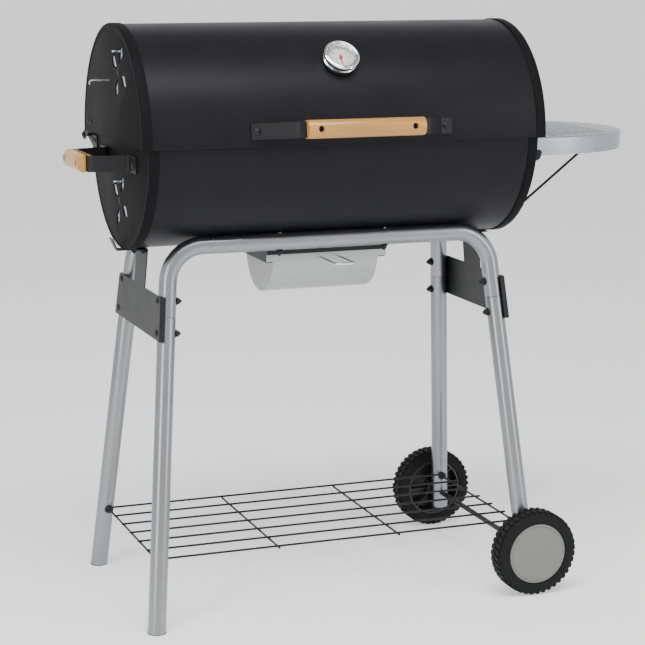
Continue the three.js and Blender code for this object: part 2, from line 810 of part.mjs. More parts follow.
for (const [sideName, side] of sides) {
  add(`hinge_bracket_${sideName}`, hingeBracket(side), "blackSteel");
  add(`lid_ear_${sideName}`, lidEar(side), "blackSteel");
}

// --- handles ---------------------------------------------------------------------------------

/** Strap and wooden halves of a handle: x along the grip, y outwards, z across the strap. */
function handlePieces({ reach, footOuter, footInner, top, grip }) {
  const path = corners(
    [-footOuter, gap], [-footInner, gap], [-top, reach], [top, reach], [footInner, gap], [footOuter, gap],
  );
  const strap = alongZ(strip(path, strapThickness), -strapWidth / 2, strapWidth / 2);
  const front = reach + strapThickness + gap;
  const half = gripWidth / 2;
  const curve = [];
  for (let i = 0; i <= 10; i += 1) {
    const a = (Math.PI * i) / 10;
    curve.push(new THREE.Vector2(-half * Math.cos(a), front + 3 + (gripDepth - 3) * Math.sin(a)));
  }
  const section = outline([...curve, ...corners([half, front], [-half, front])]);
  const outer = extrude(section, 2 * grip);
  outer.applyMatrix4(new THREE.Matrix4().makeBasis(Z, Y, X.clone().negate())).translate(grip, 0, 0);
  const back = reach - gap;
  const inner = box(-grip, grip, back - gripBack, back, -half, half);
  return { strap, outer, inner };
}

/** Places a handle at a point, its grip along one direction and its reach along another. */
function handlePlace(origin, along, out) {
  const place = new THREE.Matrix4().makeBasis(along, out, along.clone().cross(out));
  return place.setPosition(origin);
}

function addHandle(name, size, place) {
  const { strap, outer, inner } = handlePieces(size);
  add(`${name}_strap`, strap, "blackSteel", place);
  add(`${name}_grip`, outer, "wood", place);
  add(`${name}_grip_back`, inner, "wood", place);
}

const lidOut = new THREE.Vector3(0, -Math.cos(lidHandle.lift * degree), Math.sin(lidHandle.lift * degree));
const lidHandleSeat = new THREE.Vector3(lidHandle.x, 0, axisHeight).addScaledVector(lidOut, lidRadius);
addHandle("lid_handle", lidHandle, handlePlace(lidHandleSeat, X, lidOut));
const sideSeat = new THREE.Vector3(-bowlHalf, 0, axisHeight - sideHandle.drop);
addHandle("side_handle", sideHandle, handlePlace(sideSeat, Y, X.clone().negate()));

// --- thermometer in the lid -------------------------------------------------------------------

/** Outward direction of the gauge and the point where it leaves the lid. */
function gaugeFrame() {
  const out = new THREE.Vector3(0, -Math.cos(gaugeLift * degree), Math.sin(gaugeLift * degree));
  return { out, seat: new THREE.Vector3(gaugeX, 0, axisHeight).addScaledVector(out, lidRadius) };
}

function gaugePoint({ out, seat }, distance) {
  return seat.clone().addScaledVector(out, distance);
}

/** Local y points out of the lid. */
function gaugePlace() {
  const { out, seat } = gaugeFrame();
  return new THREE.Matrix4().makeBasis(X, out, X.clone().cross(out)).setPosition(seat);
}

function gaugeCase() {
  const rim = gaugeRadius - gaugeRim;
  return revolve(corners(
    [0, gaugeSeat], [rim - 4.5, gaugeSeat], [rim - 1.5, gaugeSeat + 3], [rim - 0.5, gaugeBody - 4],
    [gaugeRadius, gaugeBody - 3], [gaugeRadius, gaugeBody], [rim, gaugeBody + 1], [gaugeBore, gaugeBody],
    [gaugeBore, gaugeFloor], [0, gaugeFloor],
  ), 24);
}

/** Probe through the lid's wall with a collar inside, below the case. */
function gaugeStem() {
  const top = gaugeSeat - gap;
  const collar = -sheet - 2 * gap;
  return revolve(corners(
    [0, -gaugeProbe], [3, -gaugeProbe], [3, collar - 1], [9, collar - 1], [9, collar], [3, collar], [3, top],
    [0, top],
  ), 12);
}

function gaugeDisc(bottom, top) {
  const radius = gaugeBore - 2 * gap;
  return revolve(corners([0, bottom], [radius, bottom], [radius, top], [0, top]), 24);
}

function gaugeNeedle() {
  const blade = outline(corners([-2.4, -7], [2.4, -7], [0.6, 23], [-0.6, 23]));
  const hub = rod(new THREE.Vector3(0, 0, -0.8), new THREE.Vector3(0, 0, 0.8), 3, 12);
  const needle = join(alongZ(blade, -0.4, 0.4), hub);
  return needle.rotateX(Math.PI / 2).translate(0, dialTop + gap + 0.8, 0);
}

const gaugeFloor = gaugeSeat + 6;
const dialTop = gaugeFloor + gap + 1.2;
add("gauge_case", gaugeCase(), "chrome", gaugePlace());
add("gauge_stem", gaugeStem(), "galvanised", gaugePlace());
add("gauge_dial", gaugeDisc(gaugeFloor + gap, dialTop), "dial", gaugePlace());
add("gauge_needle", gaugeNeedle(), "red", gaugePlace());
add("gauge_glass", gaugeDisc(gaugeBody - 3, gaugeBody - 1.6), "glass", gaugePlace());

// --- grates inside the bowl --------------------------------------------------------------------

/** Half width of the bowl's inside at a height, clear of the facets. */
function chord(z) {
  const inside = (bowlRadius - sheet) * Math.cos((90 / drumSides) * degree) - gap;
  return Math.sqrt(inside ** 2 - (axisHeight - z) ** 2);
}

function ledgeStrip(row, top, width) {
  const outer = chord(top - ledge);
  const profile = outline(corners(
    [row * (outer - width), top - ledge], [row * outer, top - ledge], [row * outer, top],
    [row * (outer - width), top],
  ));
  const half = bowlHalf - sheet - 3;
  return alongX(profile, -half, half);
}

/** Flat grate with a solid rim, open bars between, and a bridge across the middle. */
function grate(x0, x1, halfWidth, bottom, pitch, bar) {
  const rim = 8;
  const holes = [];
  const count = Math.floor((x1 - x0 - 2 * rim + bar) / pitch);
  const step = (x1 - x0 - 2 * rim + bar) / count;
  for (let i = 0; i < count; i += 1) {
    const from = x0 + rim + i * step;
    for (const row of [-1, 1]) {
      const [y0, y1] = [row * bar, row * (halfWidth - rim)].sort((a, b) => a - b);
      holes.push(box(from, from + step - bar, y0, y1, bottom - 1, bottom + grateThickness + 1));
    }
  }
  return cut(box(x0, x1, -halfWidth, halfWidth, bottom, bottom + grateThickness), ...holes);
}

const grateHalf = bowlHalf - sheet - 6;
const cookHalfWidth = chord(cookGrateHeight) - 4;
const coalHalfWidth = chord(coalGrateHeight);
add("cooking_grate_left", grate(-grateHalf, -1, cookHalfWidth, cookGrateHeight, 30, 8), "blackSteel");
add("cooking_grate_right", grate(1, grateHalf, cookHalfWidth, cookGrateHeight, 30, 8), "blackSteel");
add("charcoal_grate", grate(-grateHalf + 6, grateHalf - 6, coalHalfWidth, coalGrateHeight, 44, 10),
  "blackSteel");
for (const [rowName, row] of rows) {
  add(`grate_ledge_${rowName}`, ledgeStrip(row, cookGrateHeight - gap, 14), "blackSteel");
}

// --- ash drawer and its rails ------------------------------------------------------------------

function ashDrawer() {
  const dip = Math.asin((ashAxisHeight - ashTop) / ashRadius) / degree;
  const [from, to] = [180 + dip, 360 - dip];
  const steps = 16;
  const curve = arc(0, ashAxisHeight, ashRadius, from, to, steps);
  const inside = arc(0, ashAxisHeight, ashRadius - ashWall, to, from, steps);
  const half = ashHalfLength;
  const pieces = [alongX(outline([...curve, ...inside]), -half + 0.2, half - 0.2)];
  const flangeTopZ = ashTop + ashWall;
  const flangeHalf = ashRadius - 3;
  for (const side of [-1, 1]) {
    const [x0, x1] = [side * (half - ashWall), side * half].sort((a, b) => a - b);
    pieces.push(alongX(outline(curve), x0, x1));
    const [f0, f1] = [side * (half - ashWall), side * (half + ashFlange)].sort((a, b) => a - b);
    pieces.push(box(f0, f1, -flangeHalf, flangeHalf, ashTop - 0.4, flangeTopZ));
  }
  pieces.push(box(-half, half, -ashFrontY, -flangeHalf + 1, ashTop - 0.4, flangeTopZ));
  pieces.push(box(-ashFrontHalf, ashFrontHalf, -ashFrontY, -ashFrontY + sheet, ashTop - 0.4, ashFrontTop));
  return join(...pieces);
}

/** Duct frame under the bowl with the lips that the drawer slides on. */
function ashRails() {
  const top = (y) => axisHeight - Math.sqrt((bowlRadius + gap) ** 2 - y ** 2) - gap;
  const slot = ashFrontTop + 0.5;
  const lowHalf = ashFrontY - 3;
  const lipTop = ashTop - 0.4 - gap;
  const crown = Array.from({ length: 11 }, (_, i) => {
    const y = railFrontY - (2 * railFrontY * i) / 10;
    return new THREE.Vector2(y, top(y) - 0.4);
  });
  const wall = outline([
    ...corners([-railFrontY, slot], [-lowHalf, slot], [-lowHalf, lipTop - sheet], [lowHalf, lipTop - sheet],
      [lowHalf, slot], [railFrontY, slot]),
    ...crown,
  ]);
  const pieces = [];
  for (const side of [-1, 1]) {
    const [x0, x1] = [side * (railX - sheet), side * railX].sort((a, b) => a - b);
    pieces.push(alongX(wall, x0, x1));
    const [l0, l1] = [side * (railX - railLip), side * railX].sort((a, b) => a - b);
    pieces.push(box(l0, l1, -lowHalf, lowHalf, lipTop - sheet, lipTop));
  }
  for (const row of [-1, 1]) {
    const [y0, y1] = [row * (railFrontY - sheet), row * railFrontY].sort((a, b) => a - b);
    pieces.push(box(-railX, railX, y0, y1, slot, top(railFrontY - sheet) - 0.4));
  }
  return join(...pieces);
}

function ashHandle() {
  const { half, reach, drop, radius } = ashPull;
  const z = bowlFloor - drop;
  const near = -ashFrontY - gap;
  const far = -ashFrontY - reach;
  const points = [
    new THREE.Vector3(-half, near, z), new THREE.Vector3(-half - 1, far, z),
    new THREE.Vector3(half + 1, far, z), new THREE.Vector3(half, near, z),
  ];
  return sweep(outline(circle(radius, 8)), roundedKnots(points, 6, 4));
}

add("ash_rails", ashRails(), "blackSteel");
add("ash_drawer", ashDrawer(), "ashGrey");
add("ash_handle", ashHandle(), "chrome");

// --- folding side table -------------------------------------------------------------------------

/** Plan outline of the table: straight from the hinge, then a full rounded end. */
function tableOutline(inset, back) {
  const steps = 24;
  const length = tableTip - tableStraight - inset;
  const half = tableHalfWidth - inset;
  const points = corners([back, -half]);
  for (let i = 0; i <= steps; i += 1) {
    const a = -Math.PI / 2 + (Math.PI * i) / steps;
    const power = 2 / tableFullness;
    const x = Math.cos(a) < 1e-9 ? 0 : Math.cos(a) ** power;
    const y = Math.sign(Math.sin(a)) * Math.abs(Math.sin(a)) ** power;
    points.push(new THREE.Vector2(tableStraight + length * x, half * y));
  }
  points.push(new THREE.Vector2(back, half));
  return outline(points);
}

function sideTable() {
  const bottom = tableTop - tableDepth;
  const backWall = 12;
  const reach = tableHalfWidth + 5;
  const pieces = [alongZ(tableOutline(0, tableBack), bottom, tableTop)];
  for (let i = 0; i < ribCount; i += 1) {
    const x = tableTip - ribInset - ribPitch * i;
    const profile = outline(corners(
      [x - ribWidth / 2, tableTop - 0.4], [x + ribWidth / 2, tableTop - 0.4],
      [x + ribWidth / 4, tableTop + ribHeight], [x - ribWidth / 4, tableTop + ribHeight],
    ));
    const half = tableHalfWidth * (1 - ((x - tableStraight) / (tableTip - tableStraight)) ** 2) ** 0.5 - 14;
    pieces.push(alongY(profile, -half, half));
  }
  const corner = [];
  const cutStart = tableTip - tipCut.start;
  for (let i = 0; i <= 6; i += 1) {
    const a = (Math.PI * i) / 12;
    corner.push(new THREE.Vector2(
      cutStart + tipCut.length * Math.sin(a),
      bottom + tipCut.height * (1 - Math.cos(a)),
    ));
  }
  const past = tableTip + 10;
  corner.push(...corners([past, bottom + tipCut.height], [past, bottom - 1], [cutStart, bottom - 1]));
  const { x, z } = tableHinge;
  const from = new THREE.Vector3(x, -reach, z);
  return cut(
    join(...pieces),
    alongZ(tableOutline(sheet, tableBack + sheet), bottom - 5, tableTop - sheet),
    box(tableBack - 5, tableBack + sheet + gap, -tableHalfWidth + sheet, tableHalfWidth - sheet, bottom - 5,
      tableTop - backWall),
    alongY(outline(corner), -reach, reach),
    rod(from, from.clone().setY(reach), tablePinRadius + running, 12),
  );
}

/** Bracket on the bowl's end with the table's pivot pin. */
function tableBracket(row) {
  const inner = bowlHalf + gap;
  const { x, z } = tableHinge;
  const earOuter = tableHalfWidth - sheet - running;
  const earInner = earOuter - hingePlate;
  const ear = outline(corners(
    [inner, z - 20], [inner, z - 2], [inner + 5, z - 2], [x - 7, z + 9], [x + 7, z + 9], [x + 9, z - 1],
    [x + 4, z - 12],
  ));
  const foot = box(inner, inner + hingePlate, earOuter - 20, earOuter, z - 22, z - 2);
  const [near, far] = [earInner, tableHalfWidth + gap].map((y) => new THREE.Vector3(x, y, z));
  const piece = join(
    alongY(ear, earInner, earOuter),
    foot,
    rod(near, far, tablePinRadius, 12),
    rod(far.clone().setY(far.y - 0.01), far.clone().setY(far.y + 2), tablePinRadius + 3, 12),
  );
  return row > 0 ? piece : piece.applyMatrix4(new THREE.Matrix4().makeScale(1, -1, 1));
}

/** Wire bail that props the table, pivoted at its lower ends. */
function tableStrut() {
  const { x, y, z } = strutFoot;
  const end = y - 14;
  const points = [
    new THREE.Vector3(x, -end, z), new THREE.Vector3(x, -y, z),
    new THREE.Vector3(strutHead.x, -strutHead.y, strutHead.z),
    new THREE.Vector3(strutHead.x, strutHead.y, strutHead.z),
    new THREE.Vector3(x, y, z), new THREE.Vector3(x, end, z),
  ];
  return sweep(outline(circle(strutRadius, 8)), roundedKnots(points, 5, 4));
}

/** Clip on the bowl's end that holds one lower end of the bail. */
function strutClip(row) {
  const inner = bowlHalf + gap;
  const { x, y, z } = strutFoot;
  const earOuter = y - 7;
  const bore = circle(strutRadius + running, 12, x, z);
  const tip = [[x + 4, z + 9], [x + 8, z], [x + 4, z - 9]];
  const ear = outline(corners([inner, z - 9], [inner, z + 9], ...tip), [bore]);
  const foot = box(inner, inner + sheet, earOuter - 18, earOuter, z - 9, z + 9);
  const piece = join(alongY(ear, earOuter - sheet, earOuter), foot);
  return row > 0 ? piece : piece.applyMatrix4(new THREE.Matrix4().makeScale(1, -1, 1));
}

/** Folded catch under the table that seats on the bail's cross bar. */
function strutCatch() {
  const top = tableTop - sheet - gap;
  const seat = strutHead.z + strutRadius + gap;
  const { x } = strutHead;
  const reach = 9;
  const profile = outline(corners(
    [x - reach, top], [x - reach, seat - 2.4], [x - reach + sheet, seat - 2.4], [x - reach + sheet, seat],
    [x + reach, seat], [x + reach, seat - 2.4], [x + reach + sheet, seat - 2.4], [x + reach + sheet, top],
  ));
  return alongY(profile, -32, 32);
}

add("side_table", sideTable(), "galvanised");
add("table_strut", tableStrut(), "blackSteel");
add("strut_catch", strutCatch(), "galvanised");
for (const [rowName, row] of rows) {
  add(`table_bracket_${rowName}`, tableBracket(row), "blackSteel");
  add(`strut_clip_${rowName}`, strutClip(row), "blackSteel");
}

// --- origin at the middle of the footprint ------------------------------------------------------

const bounds = new THREE.Box3().setFromObject(grill);
const middle = bounds.getCenter(new THREE.Vector3());
grill.position.set(-middle.x, -middle.y, -bounds.min.z);

export default grill;
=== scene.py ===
"""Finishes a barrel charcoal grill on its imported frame: smooth shells, tubes, wheels, wood and fasteners.

Pieces are drawn in millimetres about the barrel's middle plane, with the ground at height 0, and
finished() turns each of them into metres at its place in the frame.
"""

import json
import math
from types import SimpleNamespace

import bpy
from mathutils import Matrix, Vector


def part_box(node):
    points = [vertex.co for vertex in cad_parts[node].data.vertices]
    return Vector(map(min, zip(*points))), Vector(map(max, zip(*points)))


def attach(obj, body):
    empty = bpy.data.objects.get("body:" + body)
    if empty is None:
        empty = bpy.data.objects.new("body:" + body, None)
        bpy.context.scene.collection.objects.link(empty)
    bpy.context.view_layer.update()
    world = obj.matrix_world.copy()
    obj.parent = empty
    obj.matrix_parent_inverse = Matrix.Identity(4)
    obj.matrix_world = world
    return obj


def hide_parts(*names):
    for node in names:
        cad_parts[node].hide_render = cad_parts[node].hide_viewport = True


bl_info = {
    "name": "Barrel Charcoal Grill",
    "version": (1, 0, 0),
    "blender": (4, 5, 0),
    "location": "View3D > Sidebar > Grill",
    "description": "Builds the fine pieces and finishes of a barrel charcoal grill",
    "category": "Object",
}

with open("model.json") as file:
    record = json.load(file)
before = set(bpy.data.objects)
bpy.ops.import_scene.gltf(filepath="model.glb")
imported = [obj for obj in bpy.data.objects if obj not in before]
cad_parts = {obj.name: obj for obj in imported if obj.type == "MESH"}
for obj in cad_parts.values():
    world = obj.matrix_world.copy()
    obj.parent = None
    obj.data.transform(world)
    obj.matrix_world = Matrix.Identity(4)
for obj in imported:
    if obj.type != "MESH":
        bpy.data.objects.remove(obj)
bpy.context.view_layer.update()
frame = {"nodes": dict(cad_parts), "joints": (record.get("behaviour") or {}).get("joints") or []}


def extent(node, axis):
    """Lowest and highest value of a node along an axis, in millimetres."""
    low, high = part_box(node)
    return low[axis] * 1000, high[axis] * 1000


MIDDLE_X = sum(extent("bowl_shell", 0)) / 2
MIDDLE_Y = sum(extent("bowl_shell", 1)) / 2
AXIS_HEIGHT = extent("bowl_shell", 2)[1]
BOWL_RADIUS = AXIS_HEIGHT - extent("bowl_shell", 2)[0]
LID_RADIUS = extent("lid_shell", 2)[1] - AXIS_HEIGHT
BOWL_HALF = extent("bowl_end_right", 0)[1] - MIDDLE_X
LID_HALF = extent("lid_end_right", 0)[1] - MIDDLE_X
SKIRT = AXIS_HEIGHT - extent("lid_shell", 2)[0]
WHEEL_RADIUS = extent("tyre_front", 2)[1] / 2
WHEEL_X = sum(extent("tyre_front", 0)) / 2 - MIDDLE_X
WHEEL_Y = sum(extent("tyre_rear", 1)) / 2 - MIDDLE_Y
TYRE_WIDTH = extent("tyre_rear", 1)[1] - extent("tyre_rear", 1)[0]
SHELF_WIRE = 2
SHELF_HEIGHT = extent("wire_shelf", 2)[1] - SHELF_WIRE
TABLE_RIB = 1.2
TABLE_TOP = extent("side_table", 2)[1] - TABLE_RIB
TABLE_TIP = extent("side_table", 0)[1] - MIDDLE_X
FOOT_PAD = 1.2
FIT = 0.3
SMOOTH_ANGLE = 35
SIDES = (("left", -1), ("right", 1))
ROWS = (("front", -1), ("rear", 1))


def pivot(joint):
    """Place of a joint, in millimetres about the barrel's middle."""
    at = next(each["pos_m"] for each in frame["joints"] if each["name"] == joint)
    return Vector((at[0] * 1000 - MIDDLE_X, at[1] * 1000 - MIDDLE_Y, at[2] * 1000))


LID_PIVOT = pivot("lid_hinge")
TABLE_PIVOT = pivot("table_fold")
STRUT_PIVOT = pivot("strut_fold")


# ------------------------------------------------------------------------------------------------
# Sizes and colours that can be changed
# ------------------------------------------------------------------------------------------------


def length(name, description, default):
    """A length property, kept in metres and shown in the scene's unit."""
    return bpy.props.FloatProperty(
        name=name, description=description, default=default / 1000, unit="LENGTH", subtype="DISTANCE"
    )


def colour(name, description, default):
    return bpy.props.FloatVectorProperty(
        name=name, description=description, default=default, size=3, subtype="COLOR", min=0, max=1
    )


class GrillSizes(bpy.types.PropertyGroup):
    """Sizes of the barrel, the tube frame and the wires."""

    sheet: length("Sheet", "Thickness of the pressed steel sheet", 1.5)
    rim_width: length("Rim width", "Width of the band that wraps each end of the barrel", 18)
    tube_radius: length("Tube radius", "Outside radius of the frame tubes", 16)
    bend_radius: length("Bend radius", "Radius of the bends at the top of the frame tubes", 90)
    bar_y: length("Bar distance", "Distance of each top tube from the middle plane", 107)
    corner_x: length("Corner distance", "Where a leg's line meets its top tube, from the middle", 305)
    foot_x: length("Foot distance along", "Distance of the feet from the middle along the barrel", 363)
    foot_y: length("Foot distance across", "Distance of the feet from the middle across the barrel", 205)
    seam: length("Tube seam", "Height of the joint between top tube and leg", 545)
    wheel_leg_end: length("Wheel leg end", "Height of the lower end of the legs on the wheel side", 48)
    shelf_wire: length("Shelf wire", "Radius of the shelf's wires", SHELF_WIRE)
    grate_wire: length("Grate wire", "Radius of the grates' bars", 2)


class HandleSizes(bpy.types.PropertyGroup):
    """Sizes of the wooden handles and of the gauge."""

    lid_reach: length("Lid handle reach", "Distance of the lid's grip from the lid", 57)
    lid_grip: length("Lid grip", "Half length of the lid's grip", 108)
    side_reach: length("Side handle reach", "Distance of the side grip from the bowl's end", 70)
    side_grip: length("Side grip", "Half length of the side grip", 54)
    grip_width: length("Grip width", "Width of a grip across its strap", 32)
    grip_depth: length("Grip depth", "Depth of a grip's outer half", 17)
    gauge_radius: length("Gauge radius", "Outside radius of the lid gauge", 32)


class WheelSizes(bpy.types.PropertyGroup):
    """Sizes of the wheels and their tread."""

    tyre_depth: length("Tyre depth", "Depth of the tyre outside its rim", 23)
    lug_height: length("Lug height", "Depth of the tread between its lugs", 2.6)
    lugs: bpy.props.IntProperty(name="Lugs", description="Lugs round one tyre", default=40, min=12, max=80)


class GrillColours(bpy.types.PropertyGroup):
    """Colours of the finishes."""

    enamel: colour("Barrel enamel", "Satin black enamel of the barrel", (0.0078, 0.0076, 0.0098))
    ends: colour("End enamel", "Matt enamel of the barrel's ends", (0.0066, 0.0063, 0.0070))
    black: colour("Black steel", "Powder coat of wires, straps and brackets", (0.011, 0.011, 0.012))
    silver: colour("Silver lacquer", "Lacquer of the frame tubes", (0.27, 0.275, 0.285))
    ash: colour("Drawer paint", "Light grey paint of the ash drawer", (0.37, 0.375, 0.375))
    table: colour("Table zinc", "Zinc coat of the side table", (0.33, 0.365, 0.40))
    wood: colour("Wood", "Varnished wood of the grips", (0.50, 0.26, 0.055))
    wood_dark: colour("Wood grain", "Darker lines in the wood", (0.33, 0.14, 0.024))
    rubber: colour("Tyre", "Moulded tyre", (0.0065, 0.0065, 0.0072))
    plastic: colour("Black plastic", "Moulded plastic of plugs and wheels", (0.014, 0.014, 0.015))
    cap: colour("Hubcap", "Grey plastic of the hubcaps", (0.155, 0.158, 0.153))


# ------------------------------------------------------------------------------------------------
# Ways of making a piece
# ------------------------------------------------------------------------------------------------

X, Y, Z = Vector((1, 0, 0)), Vector((0, 1, 0)), Vector((0, 0, 1))
TO_FRAME = Matrix.Translation((MIDDLE_X / 1000, MIDDLE_Y / 1000, 0)) @ Matrix.Scale(0.001, 4)


def sizes(group):
    """A group's lengths in millimetres, and its counts, by name."""
    values = {key: getattr(group, key) for key in type(group).__annotations__}
    return SimpleNamespace(**{
        key: value * 1000 if isinstance(value, float) else value for key, value in values.items()
    })


def fresh():
    """Object mode with nothing selected."""
    if bpy.context.object and bpy.context.object.mode != "OBJECT":
        bpy.ops.object.mode_set(mode="OBJECT")
    bpy.ops.object.select_all(action="DESELECT")


def only(piece):
    fresh()
    piece.select_set(True)
    bpy.context.view_layer.objects.active = piece


def basis(x_axis, y_axis, origin=(0, 0, 0)):
    """Place whose local X and Y point along two directions."""
    x_axis, y_axis = Vector(x_axis).normalized(), Vector(y_axis).normalized()
    z_axis = x_axis.cross(y_axis)
    place = Matrix((x_axis, y_axis, z_axis)).transposed().to_4x4()
    place.translation = Vector(origin)
    return place


def aimed(direction, origin=(0, 0, 0)):
    """Place whose local Z points along a direction."""
    place = Vector(direction).to_track_quat("Z", "Y").to_matrix().to_4x4()
    place.translation = Vector(origin)
    return place


ACROSS_X = basis(Y, Z)
ACROSS_Y = basis(X, Z)


def settle(piece, place):
    """Puts a piece at its place and bakes the place into its mesh."""
    only(piece)
    piece.matrix_world = place @ piece.matrix_world
    bpy.ops.object.transform_apply(location=True, rotation=True, scale=True)
    return piece


def modified(piece, kind, **settings):
    """Adds a modifier with its settings and applies it."""
    only(piece)
    bpy.ops.object.modifier_add(type=kind)
    modifier = piece.modifiers[-1]
    for key, value in settings.items():
        setattr(modifier, key, value)
    bpy.ops.object.modifier_apply(modifier=modifier.name)
    return piece


def outward(piece):
    """Merges doubles and turns all faces outwards."""
    only(piece)
    bpy.ops.object.mode_set(mode="EDIT")
    bpy.ops.mesh.select_all(action="SELECT")
    bpy.ops.mesh.remove_doubles(threshold=0.0005)
    bpy.ops.mesh.normals_make_consistent(inside=False)
    bpy.ops.object.mode_set(mode="OBJECT")
    return piece


def line(points, closed=False):
    """Edges through some points, drawn vertex by vertex."""
    fresh()
    points = [Vector(p) for p in points]
    bpy.ops.mesh.primitive_plane_add(size=1)
    bpy.ops.object.mode_set(mode="EDIT")
    bpy.ops.mesh.select_mode(type="VERT")
    bpy.ops.mesh.select_all(action="SELECT")
    bpy.ops.mesh.merge(type="CENTER")
    bpy.ops.transform.translate(value=points[0])
    for near, far in zip(points, points[1:]):
        bpy.ops.mesh.extrude_region_move(TRANSFORM_OT_translate={"value": far - near})
    bpy.ops.object.mode_set(mode="OBJECT")
    piece = bpy.context.object
    if closed:
        vertices = piece.data.vertices
        vertices[0].select = True
        vertices[len(points) - 1].select = True
        bpy.ops.object.mode_set(mode="EDIT")
        bpy.ops.mesh.edge_face_add()
        bpy.ops.object.mode_set(mode="OBJECT")
    return piece


def turned(profile, steps=64, closed=False, sweep=360.0, start=0.0):
    """Round piece about local Z from (radius, height) points, spun in steps."""
    at = Matrix.Rotation(math.radians(start), 3, "Z")
    piece = line([at @ Vector((r, 0, h)) for r, h in profile], closed)
    bpy.ops.object.mode_set(mode="EDIT")
    bpy.ops.mesh.select_all(action="SELECT")
    bpy.ops.mesh.spin(steps=steps, angle=math.radians(sweep), center=(0, 0, 0), axis=(0, 0, -1))
    bpy.ops.object.mode_set(mode="OBJECT")
    return outward(piece)


def rolled(points, low, high, thickness):
    """Sheet drawn as a line in the cross plane and extruded along the barrel, then given its wall."""
    piece = line([(u, v, low) for u, v in points])
    bpy.ops.object.mode_set(mode="EDIT")
    bpy.ops.mesh.select_all(action="SELECT")
    bpy.ops.mesh.extrude_region_move(TRANSFORM_OT_translate={"value": (0, 0, high - low)})
    bpy.ops.object.mode_set(mode="OBJECT")
    outward(piece)
    modified(piece, "SOLIDIFY", thickness=thickness, offset=-1, use_even_offset=True)
    return settle(piece, ACROSS_X)


def plate(outlines, low, high, place=ACROSS_X, bevel=0.4):
    """Flat piece from a closed outline and its holes, with broken edges."""
    fresh()
    bpy.ops.curve.primitive_bezier_curve_add()
    piece = bpy.context.object
    curve = piece.data
    curve.splines.clear()
    for points in outlines:
        spline = curve.splines.new("POLY")
        spline.points.add(len(points) - 1)
        for knot, (u, v) in zip(spline.points, points):
            knot.co = (u, v, 0, 1)
        spline.use_cyclic_u = True
    curve.dimensions = "2D"
    curve.fill_mode = "BOTH"
    curve.extrude = (high - low) / 2 - bevel
    curve.bevel_depth = bevel
    curve.bevel_resolution = 1 if bevel > 1 else 0
    curve.offset = -bevel
    bpy.ops.object.convert(target="MESH")
    outward(piece)
    return settle(piece, place @ Matrix.Translation((0, 0, (low + high) / 2)))


def wire(points, radius, section=3, closed=False):
    """Round bar along a line of points, with closed ends."""
    fresh()
    bpy.ops.curve.primitive_bezier_curve_add()
    piece = bpy.context.object
    curve = piece.data
    curve.splines.clear()
    spline = curve.splines.new("POLY")
    spline.points.add(len(points) - 1)
    for knot, point in zip(spline.points, points):
        knot.co = (*point, 1)
    spline.use_cyclic_u = closed
    curve.dimensions = "3D"
    curve.bevel_depth = radius
    curve.bevel_resolution = section
    curve.use_fill_caps = not closed
    bpy.ops.object.convert(target="MESH")
    return outward(piece)


def block(size, place=None, bevel=1.0, segments=3):
    """Rectangular bar with rounded edges."""
    fresh()
    bpy.ops.mesh.primitive_cube_add(size=1, scale=size)
    piece = bpy.context.object
    bpy.ops.object.transform_apply(location=False, rotation=False, scale=True)
    bpy.ops.object.mode_set(mode="EDIT")
    bpy.ops.mesh.select_all(action="SELECT")
    bpy.ops.mesh.bevel(offset=bevel, segments=segments, affect="EDGES")
    bpy.ops.object.mode_set(mode="OBJECT")
    return settle(piece, place) if place else piece


def rounded(points, radius, steps=10, closed=False):
    """Points of a line whose corners are replaced by arcs."""
    points = [Vector(p) for p in points]
    path = [] if closed else [points[0]]
    corners = range(len(points)) if closed else range(1, len(points) - 1)
    for i in corners:
        here, before, after = points[i], points[i - 1], points[(i + 1) % len(points)]
        a, b = (before - here).normalized(), (after - here).normalized()
        half = a.angle(b) / 2
        reach = min(radius / math.tan(half), (before - here).length / 2, (after - here).length / 2)
        turn = reach * math.tan(half)
        middle = here + (a + b).normalized() * (turn / math.sin(half))
        first, last = here + a * reach - middle, here + b * reach - middle
        total = first.angle(last)
        for k in range(steps + 1):
            t = k / steps
            spoke = first * math.sin((1 - t) * total) + last * math.sin(t * total)
            path.append(middle + spoke / math.sin(total))
    if not closed:
        path.append(points[-1])
    return path


def arc(cx, cy, radius, start, stop, steps):
    """Points (u, v) of an arc between two directions in degrees."""
    turn = [math.radians(start + (stop - start) * i / steps) for i in range(steps + 1)]
    return [(cx + radius * math.cos(a), cy + radius * math.sin(a)) for a in turn]


def ring(radius, sides=24, cx=0.0, cy=0.0):
    return arc(cx, cy, radius, 0, 360 - 360 / sides, sides - 1)


def band(points, thickness):
    """Closed outline of a strip of even thickness on the left of a line."""
    points = [Vector((u, v, 0)) for u, v in points]
    offset = []
    for i, here in enumerate(points):
        before = here - points[max(i - 1, 0)]
        after = points[min(i + 1, len(points) - 1)] - here
        a = (before if before.length else after).normalized()
        b = (after if after.length else before).normalized()
        normal = Z.cross(a + b).normalized()
        offset.append(here + normal * (thickness / normal.dot(Z.cross(a))))
    return [(p.x, p.y) for p in points] + [(p.x, p.y) for p in reversed(offset)]


def joined(pieces):
    fresh()
    for piece in pieces:
        piece.select_set(True)
    bpy.context.view_layer.objects.active = pieces[0]
    if len(pieces) > 1:
        bpy.ops.object.join()
    return bpy.context.object


def copied(piece, places):
    """The piece's own mesh once for each place, as one piece; the original is used up."""
    copies = []
    for place in places:
        only(piece)
        bpy.ops.object.duplicate()
        copies.append(settle(bpy.context.object, place))
    only(piece)
    bpy.ops.object.delete()
    return joined(copies)


def cut_out(piece, *tools):
    """Cuts the tools' shapes out of a piece."""
    for tool in tools:
        modified(piece, "BOOLEAN", operation="DIFFERENCE", object=tool, solver="EXACT")
        only(tool)
        bpy.ops.object.delete()
    return piece


